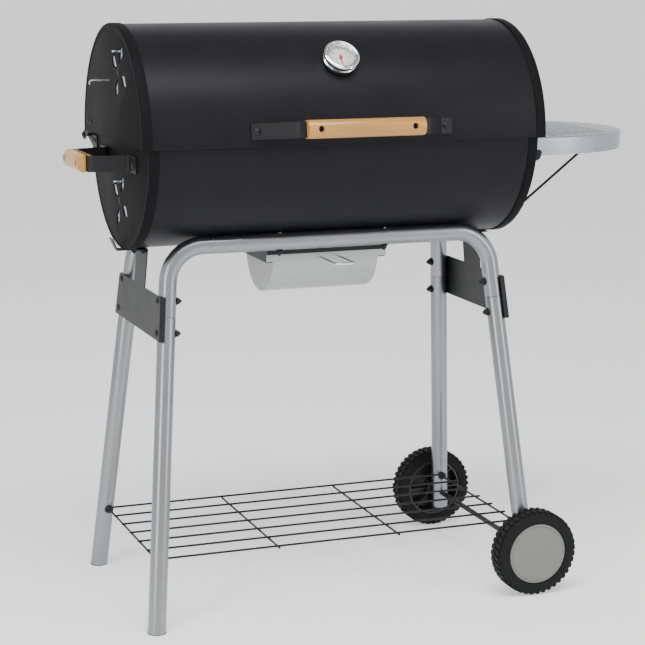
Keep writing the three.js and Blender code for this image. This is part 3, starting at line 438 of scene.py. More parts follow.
def finished(piece, name, body, finish, replaces=()):
    """Names a piece, brings it to metres at its place, shades it, and gives it its finish and body."""
    settle(piece, TO_FRAME)
    piece.name = name
    piece.data.name = name
    only(piece)
    bpy.ops.object.shade_smooth_by_angle(angle=math.radians(SMOOTH_ANGLE))
    piece.data.materials.clear()
    piece.data.materials.append(material(finish))
    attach(piece, body)
    if replaces:
        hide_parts(*replaces)
    return piece


# ------------------------------------------------------------------------------------------------
# Shared shader groups
# ------------------------------------------------------------------------------------------------


def group_of(name, inputs, outputs):
    """An empty shader group with named sockets, and its input and output nodes."""
    tree = bpy.data.node_groups.new(name, "ShaderNodeTree")
    for label, kind, default in inputs:
        socket = tree.interface.new_socket(name=label, in_out="INPUT", socket_type=kind)
        socket.default_value = default
    for label, kind in outputs:
        tree.interface.new_socket(name=label, in_out="OUTPUT", socket_type=kind)
    return tree, tree.nodes.new("NodeGroupInput"), tree.nodes.new("NodeGroupOutput")


def noise(tree, vector, scale, detail=3.0, rough=0.55):
    node = tree.nodes.new("ShaderNodeTexNoise")
    node.inputs["Detail"].default_value = detail
    node.inputs["Roughness"].default_value = rough
    tree.links.new(vector, node.inputs["Vector"])
    if isinstance(scale, float):
        node.inputs["Scale"].default_value = scale
    else:
        tree.links.new(scale, node.inputs["Scale"])
    return node.outputs["Fac"]


def maths(tree, operation, *values, clamp=False):
    node = tree.nodes.new("ShaderNodeMath")
    node.operation = operation
    node.use_clamp = clamp
    for socket, value in zip(node.inputs, values):
        if isinstance(value, (int, float)):
            socket.default_value = value
        else:
            tree.links.new(value, socket)
    return node.outputs[0]


def spread(tree, value, low, high, to_low, to_high):
    node = tree.nodes.new("ShaderNodeMapRange")
    tree.links.new(value, node.inputs["Value"])
    for label, number in (("From Min", low), ("From Max", high), ("To Min", to_low), ("To Max", to_high)):
        if isinstance(number, (int, float)):
            node.inputs[label].default_value = number
        else:
            tree.links.new(number, node.inputs[label])
    return node.outputs["Result"]


def mixed(tree, factor, first, second):
    node = tree.nodes.new("ShaderNodeMix")
    node.data_type = "RGBA"
    tree.links.new(factor, node.inputs["Factor"])
    for label, value in (("A", first), ("B", second)):
        socket = next(s for s in node.inputs if s.name == label and s.type == "RGBA")
        if isinstance(value, tuple):
            socket.default_value = (*value, 1)
        else:
            tree.links.new(value, socket)
    return next(s for s in node.outputs if s.type == "RGBA")


def coat_group():
    """Sprayed coat: cloudy tone, fine flecks and orange peel, dust on faces that look up."""
    tree, given, out = group_of(
        "Sprayed Coat",
        [
            ("Color", "NodeSocketColor", (0.5, 0.5, 0.5, 1)),
            ("Cloud", "NodeSocketFloat", 0.1),
            ("Dust", "NodeSocketFloat", 0.1),
            ("Roughness", "NodeSocketFloat", 0.4),
            ("Peel Scale", "NodeSocketFloat", 900.0),
        ],
        [("Color", "NodeSocketColor"), ("Roughness", "NodeSocketFloat"), ("Height", "NodeSocketFloat")],
    )
    place = tree.nodes.new("ShaderNodeTexCoord").outputs["Object"]
    cloud = noise(tree, place, 14.0, 4.0)
    fleck = noise(tree, place, 420.0, 2.0)
    peel = noise(tree, place, given.outputs["Peel Scale"], 2.0)
    lift = maths(tree, "MULTIPLY", maths(tree, "SUBTRACT", cloud, 0.5), given.outputs["Cloud"])
    grain = maths(tree, "MULTIPLY", maths(tree, "SUBTRACT", fleck, 0.5), given.outputs["Cloud"])
    tone = maths(tree, "ADD", maths(tree, "ADD", lift, grain), 1.0)
    scaled = tree.nodes.new("ShaderNodeVectorMath")
    scaled.operation = "SCALE"
    tree.links.new(given.outputs["Color"], scaled.inputs[0])
    tree.links.new(tone, scaled.inputs["Scale"])
    normal = tree.nodes.new("ShaderNodeSeparateXYZ")
    tree.links.new(tree.nodes.new("ShaderNodeNewGeometry").outputs["Normal"], normal.inputs[0])
    upward = spread(tree, normal.outputs["Z"], 0.3, 1.0, 0.0, given.outputs["Dust"])
    patches = spread(tree, noise(tree, place, 30.0, 6.0, 0.7), 0.35, 0.75, 0.2, 1.0)
    dust = maths(tree, "MULTIPLY", upward, patches, clamp=True)
    tree.links.new(mixed(tree, dust, scaled.outputs[0], (0.32, 0.31, 0.30)), out.inputs["Color"])
    wear = maths(tree, "MULTIPLY", maths(tree, "SUBTRACT", cloud, 0.5), 0.16)
    worn = maths(tree, "ADD", given.outputs["Roughness"], wear)
    dulled = maths(tree, "ADD", worn, maths(tree, "MULTIPLY", dust, 0.3), clamp=True)
    tree.links.new(dulled, out.inputs["Roughness"])
    tree.links.new(peel, out.inputs["Height"])
    return tree


def metal_group():
    """Bare or plated sheet: long rolling streaks, broad tarnish and fine scratches."""
    tree, given, out = group_of(
        "Rolled Metal",
        [
            ("Color", "NodeSocketColor", (0.6, 0.6, 0.6, 1)),
            ("Stretch", "NodeSocketVector", (1, 1, 1)),
            ("Contrast", "NodeSocketFloat", 0.15),
            ("Roughness", "NodeSocketFloat", 0.3),
        ],
        [("Color", "NodeSocketColor"), ("Roughness", "NodeSocketFloat"), ("Height", "NodeSocketFloat")],
    )
    place = tree.nodes.new("ShaderNodeTexCoord").outputs["Object"]
    stretched = tree.nodes.new("ShaderNodeVectorMath")
    stretched.operation = "MULTIPLY"
    tree.links.new(place, stretched.inputs[0])
    tree.links.new(given.outputs["Stretch"], stretched.inputs[1])
    streak = noise(tree, stretched.outputs[0], 160.0, 5.0, 0.65)
    tarnish = noise(tree, place, 18.0, 5.0, 0.6)
    both = maths(tree, "ADD", maths(tree, "SUBTRACT", streak, 0.5), maths(tree, "SUBTRACT", tarnish, 0.5))
    tone = maths(tree, "ADD", maths(tree, "MULTIPLY", both, given.outputs["Contrast"]), 1.0)
    scaled = tree.nodes.new("ShaderNodeVectorMath")
    scaled.operation = "SCALE"
    tree.links.new(given.outputs["Color"], scaled.inputs[0])
    tree.links.new(tone, scaled.inputs["Scale"])
    tree.links.new(scaled.outputs[0], out.inputs["Color"])
    rough = maths(tree, "ADD", given.outputs["Roughness"], maths(tree, "MULTIPLY", both, 0.2), clamp=True)
    tree.links.new(rough, out.inputs["Roughness"])
    tree.links.new(streak, out.inputs["Height"])
    return tree


def wood_group():
    """Long grain along one axis: growth bands, pores and a slow change of tone."""
    tree, given, out = group_of(
        "Straight Grain",
        [
            ("Light", "NodeSocketColor", (0.6, 0.4, 0.2, 1)),
            ("Dark", "NodeSocketColor", (0.4, 0.2, 0.1, 1)),
            ("Stretch", "NodeSocketVector", (0.08, 1, 1)),
        ],
        [("Color", "NodeSocketColor"), ("Roughness", "NodeSocketFloat"), ("Height", "NodeSocketFloat")],
    )
    place = tree.nodes.new("ShaderNodeTexCoord").outputs["Object"]
    stretched = tree.nodes.new("ShaderNodeVectorMath")
    stretched.operation = "MULTIPLY"
    tree.links.new(place, stretched.inputs[0])
    tree.links.new(given.outputs["Stretch"], stretched.inputs[1])
    bands = noise(tree, stretched.outputs[0], 150.0, 6.0, 0.6)
    pores = noise(tree, stretched.outputs[0], 900.0, 3.0, 0.7)
    tone = noise(tree, place, 9.0, 2.0)
    grain = spread(tree, maths(tree, "ADD", bands, maths(tree, "MULTIPLY", pores, 0.45)), 0.5, 0.95, 0.0, 1.0)
    body = mixed(tree, grain, given.outputs["Light"], given.outputs["Dark"])
    scaled = tree.nodes.new("ShaderNodeVectorMath")
    scaled.operation = "SCALE"
    tree.links.new(body, scaled.inputs[0])
    tree.links.new(spread(tree, tone, 0.3, 0.7, 0.88, 1.12), scaled.inputs["Scale"])
    tree.links.new(scaled.outputs[0], out.inputs["Color"])
    tree.links.new(spread(tree, pores, 0.3, 0.7, 0.3, 0.42), out.inputs["Roughness"])
    tree.links.new(maths(tree, "ADD", pores, bands), out.inputs["Height"])
    return tree


SHARED = {}


def shared(name):
    """One of the three shader groups, made when it is first asked for."""
    makers = {"coat": coat_group, "metal": metal_group, "wood": wood_group}
    if name not in SHARED:
        SHARED[name] = makers[name]()
    return SHARED[name]


# ------------------------------------------------------------------------------------------------
# Finishes
# ------------------------------------------------------------------------------------------------

MATERIALS = {}


def shaded(name, kind, inputs, shader, bump, distance):
    """Material of one shared group feeding a Principled BSDF."""
    made = bpy.data.materials.new(name)
    made.use_nodes = True
    tree = made.node_tree
    surface = tree.nodes["Principled BSDF"]
    effect = tree.nodes.new("ShaderNodeGroup")
    effect.node_tree = shared(kind)
    for label, value in inputs.items():
        effect.inputs[label].default_value = (*value, 1) if label in ("Color", "Light", "Dark") else value
    for label, value in shader.items():
        surface.inputs[label].default_value = value
    tree.links.new(effect.outputs["Color"], surface.inputs["Base Color"])
    tree.links.new(effect.outputs["Roughness"], surface.inputs["Roughness"])
    relief = tree.nodes.new("ShaderNodeBump")
    relief.inputs["Strength"].default_value = bump
    relief.inputs["Distance"].default_value = distance
    tree.links.new(effect.outputs["Height"], relief.inputs["Height"])
    tree.links.new(relief.outputs["Normal"], surface.inputs["Normal"])
    return made


def sprayed(name, tint, roughness, cloud=0.2, dust=0.05, peel=900.0, bump=0.08, **shader):
    inputs = {"Color": tint, "Cloud": cloud, "Dust": dust, "Roughness": roughness, "Peel Scale": peel}
    return shaded(name, "coat", inputs, shader, bump, 0.0004)


def plated(name, tint, roughness, stretch=(1, 1, 1), contrast=0.15, bump=0.05, **shader):
    inputs = {"Color": tint, "Stretch": stretch, "Contrast": contrast, "Roughness": roughness}
    return shaded(name, "metal", inputs, shader, bump, 0.0002)


def wooden(name, tint, dark, stretch):
    inputs = {"Light": tint, "Dark": dark, "Stretch": stretch}
    return shaded(name, "wood", inputs, {"Coat Weight": 0.35, "Coat Roughness": 0.2}, 0.12, 0.0003)


def clear_glass():
    made = plated("gauge_glass_clear", (1, 1, 1), 0.02, contrast=0.0, bump=0.0)
    surface = made.node_tree.nodes["Principled BSDF"]
    surface.inputs["Transmission Weight"].default_value = 1.0
    surface.inputs["IOR"].default_value = 1.3
    return made


def material(finish):
    """The finish's material, made when it is first asked for."""
    tint = bpy.context.scene.grill_colours
    makers = {
        "enamel": lambda: sprayed("enamel_satin_black", tint.enamel[:], 0.4, 0.3, 0.003, 700.0, 0.10,
                                  **{"Specular IOR Level": 0.12}),
        "ends": lambda: sprayed("enamel_matt_end", tint.ends[:], 0.6, 0.3, 0.002, 1100.0, 0.2,
                                **{"Specular IOR Level": 0.05}),
        "black": lambda: sprayed("steel_powder_black", tint.black[:], 0.42, 0.4, 0.008, 1300.0, 0.16,
                                 **{"Specular IOR Level": 0.22}),
        "silver": lambda: sprayed("tube_silver_lacquer", tint.silver[:], 0.3, 0.2, 0.0, 1600.0, 0.03,
                                  Metallic=0.97),
        "zinc_bolt": lambda: plated("bolt_zinc", (0.62, 0.64, 0.66), 0.28, contrast=0.3, Metallic=0.95),
        "table": lambda: plated("table_zinc_sheet", tint.table[:], 0.34, (1, 0.06, 1), 0.16, 0.06,
                                Metallic=0.85),
        "ash": lambda: sprayed("drawer_grey_paint", tint.ash[:], 0.36, 0.08, 0.0, 1200.0, 0.08,
                               Metallic=0.25),
        "wood_x": lambda: wooden("wood_grain_along", tint.wood[:], tint.wood_dark[:], (0.05, 1, 1)),
        "wood_y": lambda: wooden("wood_grain_across", tint.wood[:], tint.wood_dark[:], (1, 0.05, 1)),
        "tyre": lambda: sprayed("tyre_moulded", tint.rubber[:], 0.62, 0.35, 0.02, 500.0, 0.25,
                                **{"Specular IOR Level": 0.15}),
        "plastic": lambda: sprayed("plastic_black", tint.plastic[:], 0.45, 0.2, 0.02, 800.0, 0.2),
        "cap": lambda: sprayed("hubcap_grey", tint.cap[:], 0.34, 0.05, 0.01, 900.0, 0.06, Metallic=0.15),
        "chrome": lambda: plated("chrome_bright", (0.86, 0.87, 0.88), 0.09, contrast=0.04, bump=0.01,
                                 Metallic=1.0),
        "dial": lambda: sprayed("dial_plate", (0.78, 0.78, 0.74), 0.5, 0.05, 0.0, 900.0, 0.02),
        "ink": lambda: sprayed("dial_ink", (0.02, 0.02, 0.022), 0.5, 0.1, 0.0, 900.0, 0.02),
        "red": lambda: sprayed("needle_red", (0.55, 0.02, 0.015), 0.4, 0.08, 0.0, 900.0, 0.02),
        "glass": clear_glass,
    }
    if finish not in MATERIALS:
        MATERIALS[finish] = makers[finish]()
    return MATERIALS[finish]


def dressed(finish, *nodes):
    """Gives CAD nodes that stay a finish of their own."""
    for node in nodes:
        piece = frame["nodes"][node]
        piece.data.materials.clear()
        piece.data.materials.append(material(finish))


# ------------------------------------------------------------------------------------------------
# Fasteners
# ------------------------------------------------------------------------------------------------


def dome_head():
    """Round head of a carriage bolt."""
    return turned([(0, 3.2), (2.4, 2.9), (4.8, 1.9), (6.2, 0.6), (6.4, 0), (0, 0)], steps=24)


def nut_and_thread():
    """Washer, six-sided nut and the end of its bolt."""
    washer = turned([(0, 1.2), (7.6, 1.2), (7.8, 0.9), (7.8, 0), (0, 0)], steps=24)
    nut = turned([(0, 6.2), (5.2, 6.2), (6.1, 5.4), (6.1, 1.2), (0, 1.2)], steps=6)
    thread = turned([(0, 9.6), (2.4, 9.6), (3, 9.0), (3, 6), (0, 6)], steps=16)
    return joined([washer, nut, thread])


def cross_screw():
    """Round head with a crossed slot."""
    head = turned([(0, 2.4), (2.2, 2.2), (4.2, 1.3), (5.2, 0), (0, 0)], steps=24)
    slots = [block((5.4, 1.1, 1.6), Matrix.Translation((0, 0, 2.3)), 0.05, 1),
             block((1.1, 5.4, 1.6), Matrix.Translation((0, 0, 2.3)), 0.05, 1)]
    return cut_out(head, *slots)


HEADS = {"dome": dome_head, "nut": nut_and_thread, "screw": cross_screw}


def fastened(name, kind, spots, body, finish="black", scale=1.0):
    """One piece of like fasteners at (point, direction) spots."""
    places = [aimed(direction, point) @ Matrix.Scale(scale, 4) for point, direction in spots]
    return finished(copied(HEADS[kind](), places), name, body, finish)


# ------------------------------------------------------------------------------------------------
# Tube frame, shelf and brackets
# ------------------------------------------------------------------------------------------------


def frame_lines():
    """Lean of the legs and height of the top tubes, from the sizes."""
    size = sizes(bpy.context.scene.grill_sizes)
    reach = BOWL_RADIUS + size.tube_radius + FIT
    bar = AXIS_HEIGHT - math.sqrt(reach ** 2 - size.bar_y ** 2)
    return size, bar, (size.foot_x - size.corner_x) / bar, (size.foot_y - size.bar_y) / bar


def leg_point(side, row, height):
    """Point of a leg's centre line at a height."""
    size, _, lean_x, lean_y = frame_lines()
    return Vector((side * (size.foot_x - lean_x * height), row * (size.foot_y - lean_y * height), height))


class GRILL_OT_tube_frame(bpy.types.Operator):
    """Add the bent top tubes, the legs and their plastic plugs"""

    bl_idname = "grill.tube_frame"
    bl_label = "Tube Frame"

    def execute(self, context):
        size, bar, _, _ = frame_lines()
        for row_name, row in ROWS:
            seam = size.seam + 0.4
            corners = [leg_point(-1, row, seam), leg_point(-1, row, bar), leg_point(1, row, bar),
                       leg_point(1, row, seam)]
            tube = wire(rounded(corners, size.bend_radius, 18), size.tube_radius, section=8)
            finished(tube, f"top_tube_{row_name}_round", "stand", "silver", [f"top_tube_{row_name}"])
            for side_name, side in SIDES:
                self.leg(size, side_name, side, row_name, row)
        return {"FINISHED"}

    def leg(self, size, side_name, side, row_name, row):
        """Tube with a rolled-in upper end at the seam and a plastic plug in its foot."""
        foot = -size.tube_radius / 4 if side < 0 else size.wheel_leg_end
        low, high = leg_point(side, row, foot), leg_point(side, row, size.seam)
        run = (high - low).length
        r = size.tube_radius
        profile = [(r - 1.5, 2), (r - 0.6, 0), (r, 0.8), (r, run - 1.6), (r - 0.5, run - 0.3), (r - 1.5, run),
                   (r - 1.5, run - 4)]
        tube = settle(turned(profile, steps=36), aimed(high - low, low))
        if side < 0:
            ground = Matrix.Translation((low.x, low.y, FOOT_PAD - 10))
            cut_out(tube, block((4 * r, 4 * r, 20), ground, 0.01, 1))
        name = f"leg_{row_name}_{side_name}"
        finished(tube, f"{name}_round", "stand", "silver", [name])
        if side < 0:
            base = leg_point(side, row, 0)
            rim = [(0, 0), (r + 0.2, 0), (r + 0.8, 0.4), (r + 0.8, FOOT_PAD), (r - 2, FOOT_PAD),
                   (0, FOOT_PAD)]
            pad = settle(turned(rim, steps=36), Matrix.Translation(base))
            finished(pad, f"foot_plug_{row_name}_round", "stand", "plastic", [f"foot_plug_{row_name}"])
        else:
            rim = [(0, -2.2), (r - 3, -2.2), (r + 0.2, -1.4), (r + 0.4, -0.2), (r - 1.6, 0.2), (r - 1.6, 6),
                   (0, 6)]
            cap = settle(turned(rim, steps=36), aimed(high - low, low))
            finished(cap, f"leg_end_plug_{row_name}", "stand", "plastic")


SHELF_WIRES = 7
MIDDLE_CROSSES = (-122, 112)
SHELF_OVERHANG = 5.5
CROSS_END = 1.5
TAB_THICKNESS = 1.5


class GRILL_OT_wire_shelf(bpy.types.Operator):
    """Add the wire shelf between the legs with its bolted tabs"""

    bl_idname = "grill.wire_shelf"
    bl_label = "Wire Shelf"

    def execute(self, context):
        size = sizes(context.scene.grill_sizes)
        r = size.shelf_wire
        half = (extent("wire_shelf", 0)[1] - extent("wire_shelf", 0)[0]) / 2
        reach = (extent("wire_shelf", 1)[1] - extent("wire_shelf", 1)[0]) / 2
        wires = []
        for i in range(SHELF_WIRES):
            y = (reach - CROSS_END) * (2 * i / (SHELF_WIRES - 1) - 1)
            wires.append(wire([(-half, y, SHELF_HEIGHT), (half, y, SHELF_HEIGHT)], r, section=4))
        under = SHELF_HEIGHT - 1.8 * r
        outer = half - SHELF_OVERHANG
        for x in (-outer, *MIDDLE_CROSSES, outer):
            wires.append(wire([(x, -reach, under), (x, reach, under)], r, section=4))
        for x in (-outer, outer):
            for start, stop in ((reach, reach - TAB_THICKNESS), (-reach, TAB_THICKNESS - reach)):
                wires.append(plate([ring(8, 20, x, under)], start, stop, ACROSS_Y, 0.3))
        finished(joined(wires), "wire_shelf_round", "stand", "black", ["wire_shelf"])
        spots = []
        for _, side in SIDES:
            for _, row in ROWS:
                spots.append(((leg_point(side, row, under).x, row * (reach - 1.6), under), (0, -row, 0)))
        fastened("shelf_bolts", "dome", spots, "stand")
        return {"FINISHED"}


SEAM_BOLTS = (29, -27)
BAR_BOLT_X = 101
FLANGE_THICKNESS = 2
FLANGE_NUTS = {"left": 24, "right": 20}


class GRILL_OT_frame_bolts(bpy.types.Operator):
    """Add the bolts of the end plates, the barrel and the tool hook"""

    bl_idname = "grill.frame_bolts"
    bl_label = "Frame Bolts"

    def execute(self, context):
        size, bar, lean_x, _ = frame_lines()
        heads, nuts, seats, tops, flange = [], [], [], [], []
        under = AXIS_HEIGHT - BOWL_RADIUS - FIT - FLANGE_THICKNESS
        for side_name, side in SIDES:
            out = Vector((side, 0, lean_x)).normalized()
            for _, row in ROWS:
                for offset in SEAM_BOLTS:
                    on_leg = leg_point(side, row, size.seam + offset)
                    heads.append((on_leg + out * (size.tube_radius + 2.3), out))
                    nuts.append((on_leg - out * size.tube_radius, -out))
                x = side * BAR_BOLT_X
                seats.append((Vector((x, row * size.bar_y, bar - size.tube_radius)), -Z))
                tops.append((Vector((x, row * (size.bar_y + 3), bar + size.tube_radius - 0.3)), Z))
                flange.append((Vector((side * (BOWL_HALF - 34), row * FLANGE_NUTS[side_name], under)), -Z))
        flange.append((Vector((24 - BOWL_HALF, 0, under - 2.7)), -Z))
        fastened("end_plate_bolts", "dome", heads, "stand")
        fastened("end_plate_nuts", "nut", nuts, "stand")
        fastened("barrel_bolts", "nut", seats, "stand")
        fastened("barrel_bolt_heads", "dome", tops, "stand", "zinc_bolt", 0.65)
        fastened("flange_nuts", "nut", flange, "stand", scale=0.8)
        dressed("black", "end_bracket_left", "end_bracket_right", "tool_hook")
        return {"FINISHED"}


# ------------------------------------------------------------------------------------------------
# Wheels
# ------------------------------------------------------------------------------------------------


class GRILL_OT_wheels(bpy.types.Operator):
    """Add the wheels with their treaded tyres, ribbed backs and grey hubcaps"""

    bl_idname = "grill.wheels"
    bl_label = "Wheels"

    def execute(self, context):
        for row_name, row in ROWS:
            place = aimed((0, row, 0), (WHEEL_X, row * WHEEL_Y, WHEEL_RADIUS))
            body = f"wheel_{row_name}"
            for part, look, finish, made in (
                ("tyre", "treaded", "tyre", self.tyre()),
                ("wheel", "ribbed", "plastic", self.disc()),
                ("hubcap", "domed", "cap", self.cap()),
            ):
                node = f"{part}_{row_name}"
                finished(settle(made, place), f"{node}_{look}", body, finish, [node])
        self.axle()
        return {"FINISHED"}

    def tyre(self):
        """Rounded carcass with a staggered row of slanted lugs on each side of the middle."""
        size = sizes(bpy.context.scene.wheel_sizes)
        half, outer, lug = TYRE_WIDTH / 2, WHEEL_RADIUS, size.lug_height
        bead, tread = outer - size.tyre_depth, outer - lug
        profile = [(bead, half - 3), (bead + 0.6, half - 1), (bead + 3, half - 0.3), (bead + 5, half - 1.4),
                   (tread - 8, half - 0.6), (tread - 4, half - 1.6), (tread - 1.6, half - 4),
                   (tread - 0.4, half - 8), (tread, half - 14)]
        profile += [(r, -h) for r, h in reversed(profile)]
        carcass = turned(profile, steps=80, closed=True)
        pitch = 360 / size.lugs
        step = 2 * math.pi * outer / size.lugs
        lugs = []
        for side in (-1, 1):
            outline = [(-0.34 * step, 1.4), (0.30 * step, 1.4), (0.52 * step, half - 9),
                       (0.30 * step, half - 5), (-0.18 * step, half - 5), (-0.12 * step, half - 9)]
            outline = [(u, side * v) for u, v in outline][::side]
            chevron = plate([outline], tread - 3, outer - 0.35, Matrix.Identity(4), 0.5)
            shoulder_outline = [(-0.24 * step, half - 6), (0.26 * step, half - 6), (0.24 * step, half - 1.2),
                                (-0.20 * step, half - 1.2)]
            shoulder_outline = [(u, side * v) for u, v in shoulder_outline][::side]
            shoulder = plate([shoulder_outline], tread - 11, outer - 2.6, Matrix.Identity(4), 0.6)
            stand_up = basis(Y, Z)
            places = [Matrix.Rotation(math.radians(pitch * (i + 0.25 * side)), 4, "Z") @ stand_up
                      for i in range(size.lugs)]
            lugs.append(copied(joined([chevron, shoulder]), places))
        return joined([carcass, *lugs])

    def disc(self):
        """Rim, hub and web with eight ribs on the inner side."""
        size = sizes(bpy.context.scene.wheel_sizes)
        half = TYRE_WIDTH / 2
        rim = WHEEL_RADIUS - size.tyre_depth - 0.4
        profile = [(5.6, -half), (13, -half), (14, -half + 1), (15.5, 3), (17, 4), (rim - 8, 6),
                   (rim - 6, 4), (rim - 4.4, -half + 3.6), (rim - 3.6, -half + 2.6), (rim, -half + 3),
                   (rim, half - 3.2), (rim - 4, half - 3.2), (rim - 6, 9), (14, 9), (12, half - 7),
                   (5.6, half - 7)]
        web = turned(profile, steps=64, closed=True)
        inner, outer = 12.5, rim - 4
        middle = Matrix.Translation(((inner + outer) / 2, 0, -half / 2 + 4))
        rib = block((outer - inner, 2.6, half + 2), middle, 0.6, 2)
        spokes = copied(rib, [Matrix.Rotation(math.tau * i / 8, 4, "Z") for i in range(8)])
        return joined([web, spokes])

    def cap(self):
        """Shallow dome with a rolled rim and a thin groove."""
        size = sizes(bpy.context.scene.wheel_sizes)
        half = TYRE_WIDTH / 2
        rim = WHEEL_RADIUS - size.tyre_depth - 1
        profile = [(0, half + 2), (12, half + 1.9), (26, half + 1.45), (38, half + 0.8),
                   (rim - 8, half + 0.1), (rim - 5.2, half - 0.3), (rim - 4.6, half - 1.1),
                   (rim - 4, half - 1.1), (rim - 3.4, half - 0.4), (rim - 1.2, half - 0.7),
                   (rim, half - 1.6), (rim, half - 2.4), (rim - 3, half - 3), (0, half - 3)]
        return turned(profile, steps=96)

    def axle(self):
        """Plain bar with chamfered ends and a washer on each side of each leg."""
        half = (extent("axle", 1)[1] - extent("axle", 1)[0]) / 2
        profile = [(0, -half), (4.2, -half), (5, -half + 1), (5, half - 1), (4.2, half), (0, half)]
        bar = turned(profile, steps=24)
        place = aimed((0, 1, 0), (WHEEL_X, 0, WHEEL_RADIUS))
        washers = []
        for row in (-1, 1):
            for y in (WHEEL_Y - TYRE_WIDTH / 2 - 2.2, WHEEL_Y - TYRE_WIDTH / 2 - 26):
                washer = turned([(5.1, -0.8), (10, -0.8), (10, 0.8), (5.1, 0.8)], steps=32, closed=True)
                washers.append(settle(washer, Matrix.Translation((0, 0, row * y))))
        finished(settle(joined([bar, *washers]), place), "axle_round", "stand", "black", ["axle"])


# ------------------------------------------------------------------------------------------------
# Barrel
# ------------------------------------------------------------------------------------------------


class GRILL_OT_barrel(bpy.types.Operator):
    """Add the rolled shells of the bowl and the lid and their pressed ends"""

    bl_idname = "grill.barrel"
    bl_label = "Barrel"

    def execute(self, context):
        size = sizes(context.scene.grill_sizes)
        skirt = math.degrees(math.asin(SKIRT / LID_RADIUS))
        inset = size.sheet + FIT
        self.bowl(size, BOWL_HALF - inset)
        self.lid(size, LID_HALF - inset, skirt)
        for side_name, side in SIDES:
            self.end(size, f"bowl_end_{side_name}", "stand", BOWL_RADIUS + inset, BOWL_HALF, side, 180, 180,
                     VENTS["bowl"] if side < 0 else None)
            self.end(size, f"lid_end_{side_name}", "lid", LID_RADIUS + inset, LID_HALF, side, -skirt,
                     180 + 2 * skirt, VENTS["lid"] if side < 0 else None)
        return {"FINISHED"}

    def bowl(self, size, half):
        """Half drum with a safe rolled edge along both rims and the opening over the ash drawer."""
        points = arc(0, AXIS_HEIGHT, BOWL_RADIUS, 180, 360, 96)
        shell = rolled(points, -half, half, thickness=size.sheet)
        cutter = block((180, 110, 80), Matrix.Translation((0, 0, AXIS_HEIGHT - BOWL_RADIUS)), 0.5, 1)
        cut_out(shell, cutter)
        beads = []
        for row in (-1, 1):
            y = row * (BOWL_RADIUS - size.sheet - 1.6)
            beads.append(wire([(-half + 1, y, AXIS_HEIGHT - 2.2), (half - 1, y, AXIS_HEIGHT - 2.2)], 2, 3))
        finished(joined([shell, *beads]), "bowl_shell_rolled", "stand", "enamel", ["bowl_shell"])

    def lid(self, size, half, skirt):
        """Half drum with rolled edges and the hole of the gauge's stem."""
        points = arc(0, AXIS_HEIGHT, LID_RADIUS, -skirt, 180 + skirt, 96)
        shell = rolled(points, -half, half, thickness=size.sheet)
        out = gauge_out()
        seat = Vector((GAUGE_X, 0, AXIS_HEIGHT)) + out * LID_RADIUS
        hole = settle(turned([(0, -12), (6, -12), (6, 12), (0, 12)], steps=24), aimed(out, seat))
        cut_out(shell, hole)
        beads = []
        for row in (-1, 1):
            y, z = row * (LID_RADIUS - 0.2), AXIS_HEIGHT - SKIRT + 1.6
            beads.append(wire([(-half + 1, y, z), (half - 1, y, z)], 1.5, 3))
        finished(joined([shell, *beads]), "lid_shell_rolled", "lid", "enamel", ["lid_shell"])

    def end(self, size, name, body, radius, half, side, start, sweep, vent):
        """Pressed end with a rounded shoulder, a shallow step near its edge and a band over the shell."""
        band_end = half - size.rim_width
        profile = [(0, half), (radius - 13, half), (radius - 11.4, half - 0.8), (radius - 9, half - 0.8),
                   (radius - 7.4, half), (radius - 2.2, half), (radius - 0.7, half - 0.6),
                   (radius, half - 2.2), (radius, band_end + 0.8), (radius - 0.3, band_end)]
        press = turned(profile, steps=96, sweep=sweep, start=start)
        place = basis(Y, Z, (0, 0, AXIS_HEIGHT))
        modified(press, "SOLIDIFY", thickness=size.sheet - 0.2, offset=-1, use_even_offset=True)
        if side < 0:
            place = Matrix.Scale(-1, 4, X) @ place
        settle(press, place)
        outward(press)
        if vent:
            shapes = [plate([petal], -half - 5, -half + 5, ACROSS_X, 0.01)
                      for petal in petals(vent, 0, PETAL_HALF_WIDTH, 13, 53)]
            cut_out(press, joined(shapes))
        finished(press, f"{name}_pressed", body, "ends", [name])


VENTS = {
    name: (sum(extent(f"{name}_shutter", 1)) / 2 - MIDDLE_Y, sum(extent(f"{name}_shutter", 2)) / 2)
    for name in ("bowl", "lid")
}
PETAL_START = 26
PETAL_WIDEST = 37
PETAL_HALF_WIDTH = 10.5
SHUTTER_HALF_WIDTH = 4.5
SHUTTER_TURN = 18
SHUTTER_RADIUS = 56
PEG_WIRE = 1.6


def petals(vent, turn, half_width, inner=15, outer=50):
    """The four petal openings of a vent, with softened corners."""
    made = []
    for i in range(4):
        way = math.radians(PETAL_START + turn + 90 * i)
        along = Vector((math.cos(way), math.sin(way), 0))
        across = Vector((-along.y, along.x, 0))
        centre = Vector((*vent, 0))
        spots = ((inner, 0), (PETAL_WIDEST, -half_width), (outer, 0), (PETAL_WIDEST, half_width))
        shape = [centre + along * r + across * s for r, s in spots]
        made.append([(p.x, p.y) for p in rounded(shape, 2.2, 4, closed=True)])
    return made


